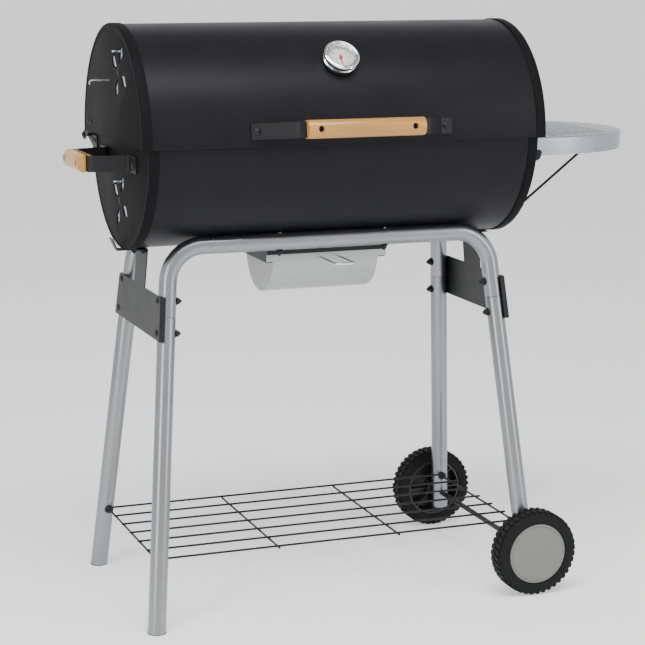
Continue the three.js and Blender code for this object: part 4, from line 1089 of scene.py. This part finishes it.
class GRILL_OT_vents(bpy.types.Operator):
    """Add the vents' shutters, rivets and the wire peg on the left end"""

    bl_idname = "grill.vents"
    bl_label = "Vents"

    def execute(self, context):
        for name, half, body in (("bowl", BOWL_HALF, "stand"), ("lid", LID_HALF, "lid")):
            self.shutter(name, half)
            place = aimed((-1, 0, 0), (-half, *VENTS[name]))
            profile = [(0, 2.6), (2.6, 2.3), (4.8, 1.4), (6.0, 0.3), (3.1, 0.2), (3.1, -3.3), (6.2, -3.4),
                       (5.2, -5.2), (0, -5.8)]
            rivet = settle(turned(profile, steps=32), place)
            finished(rivet, f"{name}_rivet", body, "black", [f"{name}_shutter_pin"])
        low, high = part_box("lid_peg")
        y = (low[1] + high[1]) * 500 - MIDDLE_Y
        z = high[2] * 1000 - PEG_WIRE
        tip = low[0] * 1000 - MIDDLE_X + PEG_WIRE
        path = rounded([(-LID_HALF + 1, y, z), (tip, y, z), (tip, y, z - 7)], 4, 6)
        finished(wire(path, PEG_WIRE, 3), "lid_peg_round", "lid", "zinc_bolt", ["lid_peg"])
        return {"FINISHED"}

    def shutter(self, name, half):
        """Disc behind the end with its own openings and a finger through one petal."""
        vent = VENTS[name]
        face = -half + 1.8
        outlines = [ring(SHUTTER_RADIUS, 72, *vent), *petals(vent, -SHUTTER_TURN, SHUTTER_HALF_WIDTH)]
        disc = plate(outlines, face + 0.1, face + 1.3, ACROSS_X, 0.2)
        at = Matrix.Translation((0, *vent)) @ Matrix.Rotation(math.radians(PETAL_START + 90), 4, "X")
        finger = block((15.6, 3, 1.5), at @ Matrix.Translation((-half - 6.4, 36.5, -6.05)), 0.5, 2)
        foot = block((1.2, 3, 6), at @ Matrix.Translation((face + 0.7, 36.5, -3.8)), 0.2, 1)
        finished(joined([disc, finger, foot]), f"{name}_shutter_disc", f"{name}_vent", "zinc_bolt",
                 [f"{name}_shutter"])


# ------------------------------------------------------------------------------------------------
# Handles and gauge
# ------------------------------------------------------------------------------------------------


LID_HANDLE_LIFT = 6.6
LID_HANDLE_FEET = (187, 166, 119)
SIDE_HANDLE_FEET = (120, 75, 62)
STRAP_WIDTH = 28
STRAP_THICKNESS = 3


class GRILL_OT_handles(bpy.types.Operator):
    """Add the wooden grips on their bent straps, with screws and bolts"""

    bl_idname = "grill.handles"
    bl_label = "Handles"

    def execute(self, context):
        size = sizes(context.scene.handle_sizes)
        lift = math.radians(LID_HANDLE_LIFT)
        out = Vector((0, -math.cos(lift), math.sin(lift)))
        lid_x = sum(extent("lid_handle_strap", 0)) / 2 - MIDDLE_X
        lid_place = basis(X, out, Vector((lid_x, 0, AXIS_HEIGHT)) + out * LID_RADIUS)
        self.handle("lid_handle", "lid", size, lid_place, LID_HANDLE_FEET, size.lid_reach, size.lid_grip,
                    "wood_x")
        side_place = basis(Y, -X, (-BOWL_HALF, 0, sum(extent("side_handle_strap", 2)) / 2))
        self.handle("side_handle", "stand", size, side_place, SIDE_HANDLE_FEET, size.side_reach,
                    size.side_grip, "wood_y")
        return {"FINISHED"}

    def handle(self, name, body, size, place, feet, reach, grip, finish):
        """Strap bent at feet and grip, and the two halves of the grip screwed on it."""
        foot_outer, foot_inner, top = feet
        half = size.grip_width / 2
        corners = [(-foot_outer, FIT, 0), (-foot_inner, FIT, 0), (-top, reach, 0), (top, reach, 0),
                   (foot_inner, FIT, 0), (foot_outer, FIT, 0)]
        bent = [(p.x, p.y) for p in rounded(corners, 8, 6)]
        strap = plate([band(bent, STRAP_THICKNESS)], -STRAP_WIDTH / 2, STRAP_WIDTH / 2, place, 0.35)
        finished(strap, f"{name}_strap_bent", body, "black", [f"{name}_strap"])
        front, depth = reach + STRAP_THICKNESS + FIT, size.grip_depth
        crown = [(half * math.cos(a), front + 4 + (depth - 4) * math.sin(a))
                 for a in (math.pi * i / 20 for i in range(21))]
        section = [(half - 1, front), *crown, (1 - half, front)]
        stood = basis((0, 0, 1), (0, 1, 0))
        outer = plate([section], -grip, grip, place @ stood, 2.6)
        screws = []
        for spot in (-0.8 * grip, 0.8 * grip):
            well = turned([(0, -9), (5.4, -9), (5.4, 2), (0, 2)], steps=28)
            settle(well, place @ aimed((0, 1, 0), (spot, front + depth, 0)))
            cut_out(outer, well)
            screws.append((place @ Vector((spot, front + depth - 8.6, 0)), place.to_3x3() @ Y))
        finished(outer, f"{name}_grip_turned", body, finish, [f"{name}_grip"])
        back = reach - FIT
        hollow = [(half, back), (half - 1.5, back - 5), (half - 5, back - 7), (5 - half, back - 7),
                  (1.5 - half, back - 5), (-half, back)]
        inner = plate([hollow], -grip, grip, place @ stood, 1.2)
        finished(inner, f"{name}_grip_back_shaped", body, finish, [f"{name}_grip_back"])
        fastened(f"{name}_screws", "screw", screws, body)
        middle = (foot_outer + foot_inner) / 2
        feet_spots = [(place @ Vector((side * middle, 3.2, 0)), place.to_3x3() @ Y) for _, side in SIDES]
        fastened(f"{name}_bolts", "dome", feet_spots, body)


GAUGE_X = sum(extent("gauge_glass", 0)) / 2 - MIDDLE_X
DIAL_MARKS = 30
DIAL_SWEEP = 270
DIAL_INK = 10.75


def gauge_out():
    """Direction in which the gauge looks."""
    middle_y = sum(extent("gauge_glass", 1)) / 2 - MIDDLE_Y
    middle_z = sum(extent("gauge_glass", 2)) / 2 - AXIS_HEIGHT
    return Vector((0, middle_y, middle_z)).normalized()


class GRILL_OT_gauge(bpy.types.Operator):
    """Add the round gauge in the lid: case, dial, marks, needle and glass"""

    bl_idname = "grill.gauge"
    bl_label = "Gauge"

    def execute(self, context):
        r = sizes(context.scene.handle_sizes).gauge_radius
        out = gauge_out()
        seat = Vector((GAUGE_X, 0, AXIS_HEIGHT)) + out * LID_RADIUS
        place = basis(X, out.cross(X), seat)
        bore = r - 8.6
        body = [(3.4, 2.4), (r - 2.6, 2.4), (r - 1.6, 3.2), (r - 1.6, 7.6), (r - 3.4, 8.4), (r - 3.4, 11),
                (r - 1.8, 11.8), (r - 1.8, 15)]
        bezel = [(r - 0.4, 16.2), (r, 18), (r - 0.3, 19.4), (r - 1.6, 20.4), (r - 3, 20.6), (r - 4.2, 20.1),
                 (r - 4.8, 19.2), (r - 6.0, 19.7), (r - 7.6, 19.4), (bore, 18.2), (bore, 9), (3.4, 9)]
        case = turned(body + bezel, steps=96, closed=True)
        finished(settle(case, place), "gauge_case_turned", "lid", "chrome", ["gauge_case"])
        stem = turned([(0, -60), (1.6, -59.6), (2.9, -57), (2.9, -3.2), (8.6, -3.2), (8.8, -2.2), (2.9, -2),
                       (2.9, 8), (0, 8)], steps=24)
        finished(settle(stem, place), "gauge_stem_turned", "lid", "zinc_bolt", ["gauge_stem"])
        edge = bore - 0.2
        dial = turned([(0, 10.6), (edge - 0.5, 10.6), (edge, 11.4), (edge, 9.4), (0, 9.4)], steps=72)
        finished(settle(dial, place), "gauge_dial_plate", "lid", "dial", ["gauge_dial"])
        self.marks(place, r)
        self.needle(place)
        glass = turned([(0, 18.9), (10, 18.7), (20, 18.1), (edge, 17.6), (edge, 16.6), (20, 17), (10, 17.6),
                        (0, 17.8)], steps=72)
        finished(settle(glass, place), "gauge_glass_domed", "lid", "glass", ["gauge_glass"])
        return {"FINISHED"}

    def marks(self, place, r):
        """Long and short marks round the dial and plain figures beside the long ones."""
        marks = []
        for i in range(DIAL_MARKS + 1):
            turn = math.radians(DIAL_SWEEP * (i / DIAL_MARKS - 0.5))
            long = i % 5 == 0
            reach = 3.6 if long else 2.0
            at = Matrix.Rotation(-turn, 4, "Z") @ Matrix.Translation((0, r - 10.2 - reach / 2, DIAL_INK))
            marks.append(block((0.75 if long else 0.4, reach, 0.2), at, 0.02, 1))
        figures = ("0", "50", "100", "150", "200", "250", "300")
        for i, figure in enumerate(figures):
            turn = math.radians(DIAL_SWEEP * (i / (len(figures) - 1) - 0.5))
            fresh()
            bpy.ops.object.text_add()
            text = bpy.context.object
            text.data.body = figure
            text.data.size = 3.4
            text.data.extrude = 0.08
            text.data.align_x = "CENTER"
            text.data.align_y = "CENTER"
            bpy.ops.object.convert(target="MESH")
            spot = Matrix.Rotation(-turn, 3, "Z") @ Vector((0, r - 16.6, DIAL_INK))
            marks.append(settle(bpy.context.object, Matrix.Translation(spot)))
        ink = settle(joined(marks), place)
        finished(ink, "gauge_marks", "lid", "ink")

    def needle(self, place):
        """Needle at its lowest mark, on a round boss."""
        blade = plate([[(-1.5, -7), (1.5, -7), (1.3, 0), (0.4, 17), (-0.4, 17), (-1.3, 0)]], 12, 12.7,
                      Matrix.Identity(4), 0.12)
        boss = turned([(0, 14.4), (2.2, 14.2), (3, 13.4), (3, 11.4), (0, 11.4)], steps=24)
        pointer = settle(joined([blade, boss]), place @ Matrix.Rotation(math.pi, 4, "Z"))
        finished(pointer, "gauge_needle_shaped", "needle", "red", ["gauge_needle"])


# ------------------------------------------------------------------------------------------------
# Inside of the barrel
# ------------------------------------------------------------------------------------------------


class GRILL_OT_grates(bpy.types.Operator):
    """Add the welded wire grates on their ledges"""

    bl_idname = "grill.grates"
    bl_label = "Grates"

    def execute(self, context):
        for node, pitch in (("cooking_grate_left", 13), ("cooking_grate_right", 13), ("charcoal_grate", 17)):
            self.grate(node, pitch)
        dressed("black", "grate_ledge_front", "grate_ledge_rear")
        return {"FINISHED"}

    def grate(self, node, pitch):
        """Rim wire, cross bars on it and two stays under them."""
        size = sizes(bpy.context.scene.grill_sizes)
        r = size.grate_wire
        x0, x1 = (v - MIDDLE_X for v in extent(node, 0))
        y0, y1 = (v - MIDDLE_Y for v in extent(node, 1))
        z = extent(node, 2)[0] + r
        corners = [(x0 + r, y0 + r, z), (x1 - r, y0 + r, z), (x1 - r, y1 - r, z), (x0 + r, y1 - r, z)]
        rim = rounded(corners, 10, 6, closed=True)
        bars = [wire(rim, r, 2, closed=True)]
        count = round((x1 - x0) / pitch)
        for i in range(1, count):
            x = x0 + (x1 - x0) * i / count
            bars.append(wire([(x, y0 + 1, z), (x, y1 - 1, z)], r * 0.85, 2))
        for y in (y0 * 0.45, y1 * 0.45):
            bars.append(wire([(x0 + 1, y, z - 0.6), (x1 - 1, y, z - 0.6)], r * 0.7, 2))
        finished(joined(bars), f"{node}_welded", "stand", "black", [node])


# ------------------------------------------------------------------------------------------------
# Ash drawer
# ------------------------------------------------------------------------------------------------


DRAWER_RADIUS = 77
DRAWER_FRONT_OVERLAP = 14
DRAWER_LIP = 12.5
PULL_WIRE = 2


class GRILL_OT_ash_drawer(bpy.types.Operator):
    """Add the half-round ash drawer with its folded front and wire pull"""

    bl_idname = "grill.ash_drawer"
    bl_label = "Ash Drawer"

    def execute(self, context):
        low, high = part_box("ash_drawer")
        radius, front_half = DRAWER_RADIUS, (high[0] - low[0]) * 500
        half = front_half - DRAWER_FRONT_OVERLAP
        axis, top = low[2] * 1000 + radius, high[2] * 1000 - DRAWER_LIP
        front = low[1] * 1000 - MIDDLE_Y
        dip = math.degrees(math.asin((axis - top) / radius))
        start, stop = 180 + dip, 360 - dip
        tub = rolled(arc(0, axis, radius, start, stop, 60), -half + 0.4, half - 0.4, thickness=1.2)
        parts = [tub]
        for _, side in SIDES:
            span = sorted((side * (half - 1.2), side * half))
            outline = arc(0, axis, radius + 0.7, start, stop, 60)
            parts.append(plate([outline], *span, ACROSS_X, 0.3))
            rim = sorted((side * (half - 7), side * half))
            curl = band(arc(0, axis, radius + 0.1, start, stop, 60), -0.8)
            parts.append(plate([curl], *rim, ACROSS_X, 0.3))
            shelf = sorted((side * (half - 1.2), side * (half + 10)))
            parts.append(block((shelf[1] - shelf[0], 2 * radius - 6, 1.4),
                               Matrix.Translation((sum(shelf) / 2, 0, top + 0.4)), 0.5, 2))
        parts.append(block((2 * half, 8.4, 1.4), Matrix.Translation((0, front + 3.8, top + 0.4)), 0.5, 2))
        lip = Matrix.Translation((0, front + 0.8, top + 6))
        parts.append(block((2 * front_half, 1.6, 12.6), lip, 0.6, 2))
        finished(joined(parts), "ash_drawer_pressed", "ash_drawer", "ash", ["ash_drawer"])
        end = extent("ash_handle", 1)[0] - MIDDLE_Y + PULL_WIRE
        z = sum(extent("ash_handle", 2)) / 2
        path = [(-17, front + 1, z), (-18, end, z), (18, end, z), (17, front + 1, z)]
        pull = wire(rounded(path, 8, 10), PULL_WIRE, 4)
        finished(pull, "ash_pull_round", "ash_drawer", "chrome", ["ash_handle"])
        dressed("black", "ash_rails")
        return {"FINISHED"}


# ------------------------------------------------------------------------------------------------
# Side table
# ------------------------------------------------------------------------------------------------


TABLE_STRAIGHT = 33
TABLE_FULLNESS = 2.2
TIP_CUT = (46, 42, 26)
RIB_COUNT = 8
RIB_INSET = 72
RIB_PITCH = 17.5
CLIP_BOLT_Y = 81
STRUT_FOOT_Y = 100
STRUT_HEAD_Y = 80
STRUT_SEAT_OUT = 175
STRUT_SEAT_DROP = 16


class GRILL_OT_side_table(bpy.types.Operator):
    """Add the pressed side table with its ribs, and the wire strut under it"""

    bl_idname = "grill.side_table"
    bl_label = "Side Table"

    def execute(self, context):
        low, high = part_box("side_table")
        back, tip = low[0] * 1000 - MIDDLE_X, TABLE_TIP
        half, straight, bottom = (high[1] - low[1]) * 500, back + TABLE_STRAIGHT, low[2] * 1000
        depth = TABLE_TOP - bottom
        outline = [(back, -half)]
        for i in range(49):
            a = -math.pi / 2 + math.pi * i / 48
            power = 2 / TABLE_FULLNESS
            u = max(math.cos(a), 0) ** power
            v = math.copysign(abs(math.sin(a)) ** power, math.sin(a))
            outline.append((straight + (tip - straight) * u, half * v))
        outline.append((back, half))
        pan = self.pan(outline, bottom)
        start, run, rise = tip - TIP_CUT[0], *TIP_CUT[1:]
        corner = [(start, bottom - 2)]
        for i in range(13):
            a = math.pi * i / 24
            corner.append((start + run * math.sin(a), bottom + rise * (1 - math.cos(a))))
        corner += [(tip + 10, bottom + rise), (tip + 10, bottom - 2)]
        cut_out(pan, plate([corner], -half - 5, half + 5, ACROSS_Y, 0.01))
        gate = Matrix.Translation((back, 0, bottom + depth / 2 - 6))
        cut_out(pan, block((8, 2 * half - 3.6, depth - 12), gate, 0.1, 1))
        ribs = []
        for i in range(RIB_COUNT):
            x = tip - RIB_INSET - RIB_PITCH * i
            reach = half * (1 - ((x - straight) / (tip - straight)) ** 2) ** 0.5 - 14
            rib = turned([(0, -reach), (0.9, -reach + 0.6), (1.7, -reach + 4), (1.7, reach - 4),
                          (0.9, reach - 0.6), (0, reach)], steps=20)
            flat = Matrix.Diagonal((1.25, 1, 0.9, 1))
            ribs.append(settle(rib, Matrix.Translation((x, 0, TABLE_TOP - 0.35)) @ flat @ aimed((0, 1, 0))))
        finished(joined([pan, *ribs]), "side_table_pressed", "side_table", "table", ["side_table"])
        dressed("table", "strut_catch")
        self.strut(back)
        pins = [((TABLE_PIVOT.x, row * (half + 0.2), TABLE_PIVOT.z), (0, row, 0)) for _, row in ROWS]
        fastened("table_pivot_heads", "dome", pins, "side_table", "table", 0.5)
        feet = []
        for _, row in ROWS:
            feet.append(((BOWL_HALF + 2.3, row * (half - 12), TABLE_PIVOT.z - 11), X))
            feet.append(((BOWL_HALF + 1.9, row * CLIP_BOLT_Y, STRUT_PIVOT.z), X))
        fastened("table_bracket_bolts", "dome", feet, "stand", scale=0.75)
        dressed("black", "table_bracket_front", "table_bracket_rear", "strut_clip_front", "strut_clip_rear")
        return {"FINISHED"}

    def pan(self, outline, bottom):
        """Outline drawn, filled and drawn up, its top edge rounded and its underside opened."""
        piece = line([(u, v, bottom) for u, v in outline], closed=True)
        bpy.ops.object.mode_set(mode="EDIT")
        bpy.ops.mesh.select_all(action="SELECT")
        bpy.ops.mesh.edge_face_add()
        bpy.ops.mesh.extrude_region_move(TRANSFORM_OT_translate={"value": (0, 0, TABLE_TOP - bottom)})
        bpy.ops.mesh.bevel(offset=3.2, segments=5, affect="EDGES")
        bpy.ops.mesh.select_all(action="SELECT")
        bpy.ops.mesh.normals_make_consistent(inside=False)
        bpy.ops.mesh.select_all(action="DESELECT")
        bpy.ops.object.mode_set(mode="OBJECT")
        for face in piece.data.polygons:
            face.select = face.normal.z < -0.9
        bpy.ops.object.mode_set(mode="EDIT")
        bpy.ops.mesh.select_mode(type="FACE")
        bpy.ops.mesh.delete(type="FACE")
        bpy.ops.object.mode_set(mode="OBJECT")
        return modified(piece, "SOLIDIFY", thickness=1.4, offset=-1, use_even_offset=True)

    def strut(self, back):
        """Wire loop from the clips on the bowl's end up to the catch under the table."""
        foot_x, foot_z = STRUT_PIVOT.x, STRUT_PIVOT.z
        head_x, head_z = back + STRUT_SEAT_OUT, TABLE_TOP - STRUT_SEAT_DROP
        end = STRUT_FOOT_Y - 14
        corners = [(foot_x, -end, foot_z), (foot_x, -STRUT_FOOT_Y, foot_z), (head_x, -STRUT_HEAD_Y, head_z),
                   (head_x, STRUT_HEAD_Y, head_z), (foot_x, STRUT_FOOT_Y, foot_z), (foot_x, end, foot_z)]
        loop = wire(rounded(corners, 7, 8), 2.5, 4)
        finished(loop, "table_strut_round", "table_strut", "black", ["table_strut"])


# ------------------------------------------------------------------------------------------------
# Hinges
# ------------------------------------------------------------------------------------------------


PLATE_BOLTS = (163, 178)
EAR_BOLTS = (150, 168)


class GRILL_OT_hinges(bpy.types.Operator):
    """Finish the lid's hinges and add their bolts and pin heads"""

    bl_idname = "grill.hinges"
    bl_label = "Hinges"

    def execute(self, context):
        dressed("black", "hinge_bracket_left", "hinge_bracket_right", "lid_ear_left", "lid_ear_right")
        pivot_y = extent("hinge_bracket_left", 1)[1] - MIDDLE_Y - 8
        bowl_spots, lid_spots, pins = [], [], []
        for _, side in SIDES:
            out = X * side
            for y in PLATE_BOLTS:
                bowl_spots.append(((side * (BOWL_HALF + 2.4), y, LID_PIVOT.z - 7), out))
            for y in EAR_BOLTS:
                lid_spots.append(((side * LID_HALF, y, LID_PIVOT.z + 29), out))
            pins.append(((side * (LID_HALF + 0.2), pivot_y, LID_PIVOT.z), out))
        fastened("hinge_plate_bolts", "dome", bowl_spots, "stand", scale=0.7)
        fastened("hinge_ear_bolts", "dome", lid_spots, "lid", scale=0.8)
        fastened("hinge_pin_heads", "dome", pins, "stand", scale=0.7)
        return {"FINISHED"}


# ------------------------------------------------------------------------------------------------
# Stage
# ------------------------------------------------------------------------------------------------

AZIMUTH, ELEVATION, ROLL = -20.49, 10.55, 0.17
CAMERA_DISTANCE = 3.6087
TARGET = (MIDDLE_X / 1000 + 0.00383, MIDDLE_Y / 1000, 0.53087)
LENS = 107.98
SHIFT = (0.0147, -0.0317)
LAMPS = (
    ("key_overhead", (-0.5, -1.5, 3.2), 3.2, 1.2, 150),
    ("fill_left", (-3.2, -2.2, 1.0), 0.5, 2.6, 40),
    ("fill_right", (2.6, -3.0, 1.2), 0.5, 2.6, 34),
)


class GRILL_OT_stage(bpy.types.Operator):
    """Add the pale floor, the soft lights and the camera"""

    bl_idname = "grill.stage"
    bl_label = "Stage"

    def execute(self, context):
        self.floor()
        self.lights()
        self.camera(context.scene)
        return {"FINISHED"}

    def floor(self):
        """Round floor that curves up far away, so that it fills every view."""
        curve = [(14 + 6 * math.sin(a), 6 - 6 * math.cos(a)) for a in (math.pi * i / 16 for i in range(1, 9))]
        profile = [(0, 0), (6, 0), (14, 0), *curve, (20, 16)]
        sheet = turned(profile, steps=96)
        sheet.name = "pale_floor"
        only(sheet)
        bpy.ops.object.shade_smooth()
        pale = bpy.data.materials.new("pale_floor_paint")
        pale.use_nodes = True
        surface = pale.node_tree.nodes["Principled BSDF"]
        surface.inputs["Base Color"].default_value = (0.86, 0.86, 0.86, 1)
        surface.inputs["Roughness"].default_value = 0.9
        surface.inputs["Emission Color"].default_value = (1, 1, 1, 1)
        surface.inputs["Emission Strength"].default_value = 0.45
        sheet.data.materials.append(pale)

    def lights(self):
        """Soft white room with a wide lamp over the front and a narrow one at each side."""
        world = bpy.data.worlds.new("soft_room")
        bpy.context.scene.world = world
        world.use_nodes = True
        world.node_tree.nodes["Background"].inputs["Color"].default_value = (1, 1, 1, 1)
        world.node_tree.nodes["Background"].inputs["Strength"].default_value = 0.4
        target = Vector(TARGET)
        for name, spot, width, height, power in LAMPS:
            fresh()
            bpy.ops.object.light_add(type="AREA", location=target + Vector(spot))
            lamp = bpy.context.object
            lamp.name = name
            lamp.data.shape = "RECTANGLE"
            lamp.data.size = width
            lamp.data.size_y = height
            lamp.data.energy = power
            lamp.rotation_euler = (target - lamp.location).to_track_quat("-Z", "Y").to_euler()

    def camera(self, scene):
        """Long lens from the front left, a little above the barrel's middle."""
        around, above = math.radians(AZIMUTH), math.radians(ELEVATION)
        level_run = math.cos(above)
        toward = Vector((-math.sin(around) * level_run, math.cos(around) * level_run, -math.sin(above)))
        fresh()
        bpy.ops.object.camera_add(location=Vector(TARGET) - toward * CAMERA_DISTANCE)
        eye = bpy.context.object
        level = toward.to_track_quat("-Z", "Y").to_matrix()
        eye.rotation_euler = (level @ Matrix.Rotation(math.radians(ROLL), 3, "Z")).to_euler()
        eye.data.lens = LENS
        eye.data.sensor_width = 36
        eye.data.shift_x, eye.data.shift_y = SHIFT
        scene.camera = eye


# ------------------------------------------------------------------------------------------------
# Panel and registration
# ------------------------------------------------------------------------------------------------

STEPS = (
    GRILL_OT_stage, GRILL_OT_tube_frame, GRILL_OT_wire_shelf, GRILL_OT_frame_bolts, GRILL_OT_wheels,
    GRILL_OT_barrel, GRILL_OT_vents, GRILL_OT_handles, GRILL_OT_gauge, GRILL_OT_grates, GRILL_OT_ash_drawer,
    GRILL_OT_side_table, GRILL_OT_hinges,
)


class GRILL_PT_build(bpy.types.Panel):
    """Lists the pieces of the grill and their sizes"""

    bl_label = "Barrel Charcoal Grill"
    bl_idname = "GRILL_PT_build"
    bl_space_type = "VIEW_3D"
    bl_region_type = "UI"
    bl_category = "Grill"

    def draw(self, context):
        for step in STEPS:
            self.layout.operator(step.bl_idname)
        for title, group in SETTINGS.items():
            box = self.layout.box()
            box.label(text=title.replace("_", " ").title())
            settings = getattr(context.scene, title)
            for key in group.__annotations__:
                box.prop(settings, key)


SETTINGS = {
    "grill_sizes": GrillSizes,
    "handle_sizes": HandleSizes,
    "wheel_sizes": WheelSizes,
    "grill_colours": GrillColours,
}
CLASSES = (*SETTINGS.values(), *STEPS, GRILL_PT_build)


def register():
    for cls in CLASSES:
        bpy.utils.register_class(cls)
    for title, group in SETTINGS.items():
        setattr(bpy.types.Scene, title, bpy.props.PointerProperty(type=group))


def unregister():
    for title in SETTINGS:
        delattr(bpy.types.Scene, title)
    for cls in reversed(CLASSES):
        bpy.utils.unregister_class(cls)


def main():
    """Builds every piece in order."""
    register()
    for step in STEPS:
        area, name = step.bl_idname.split(".")
        getattr(getattr(bpy.ops, area), name)()


if __name__ == "__main__":
    main()
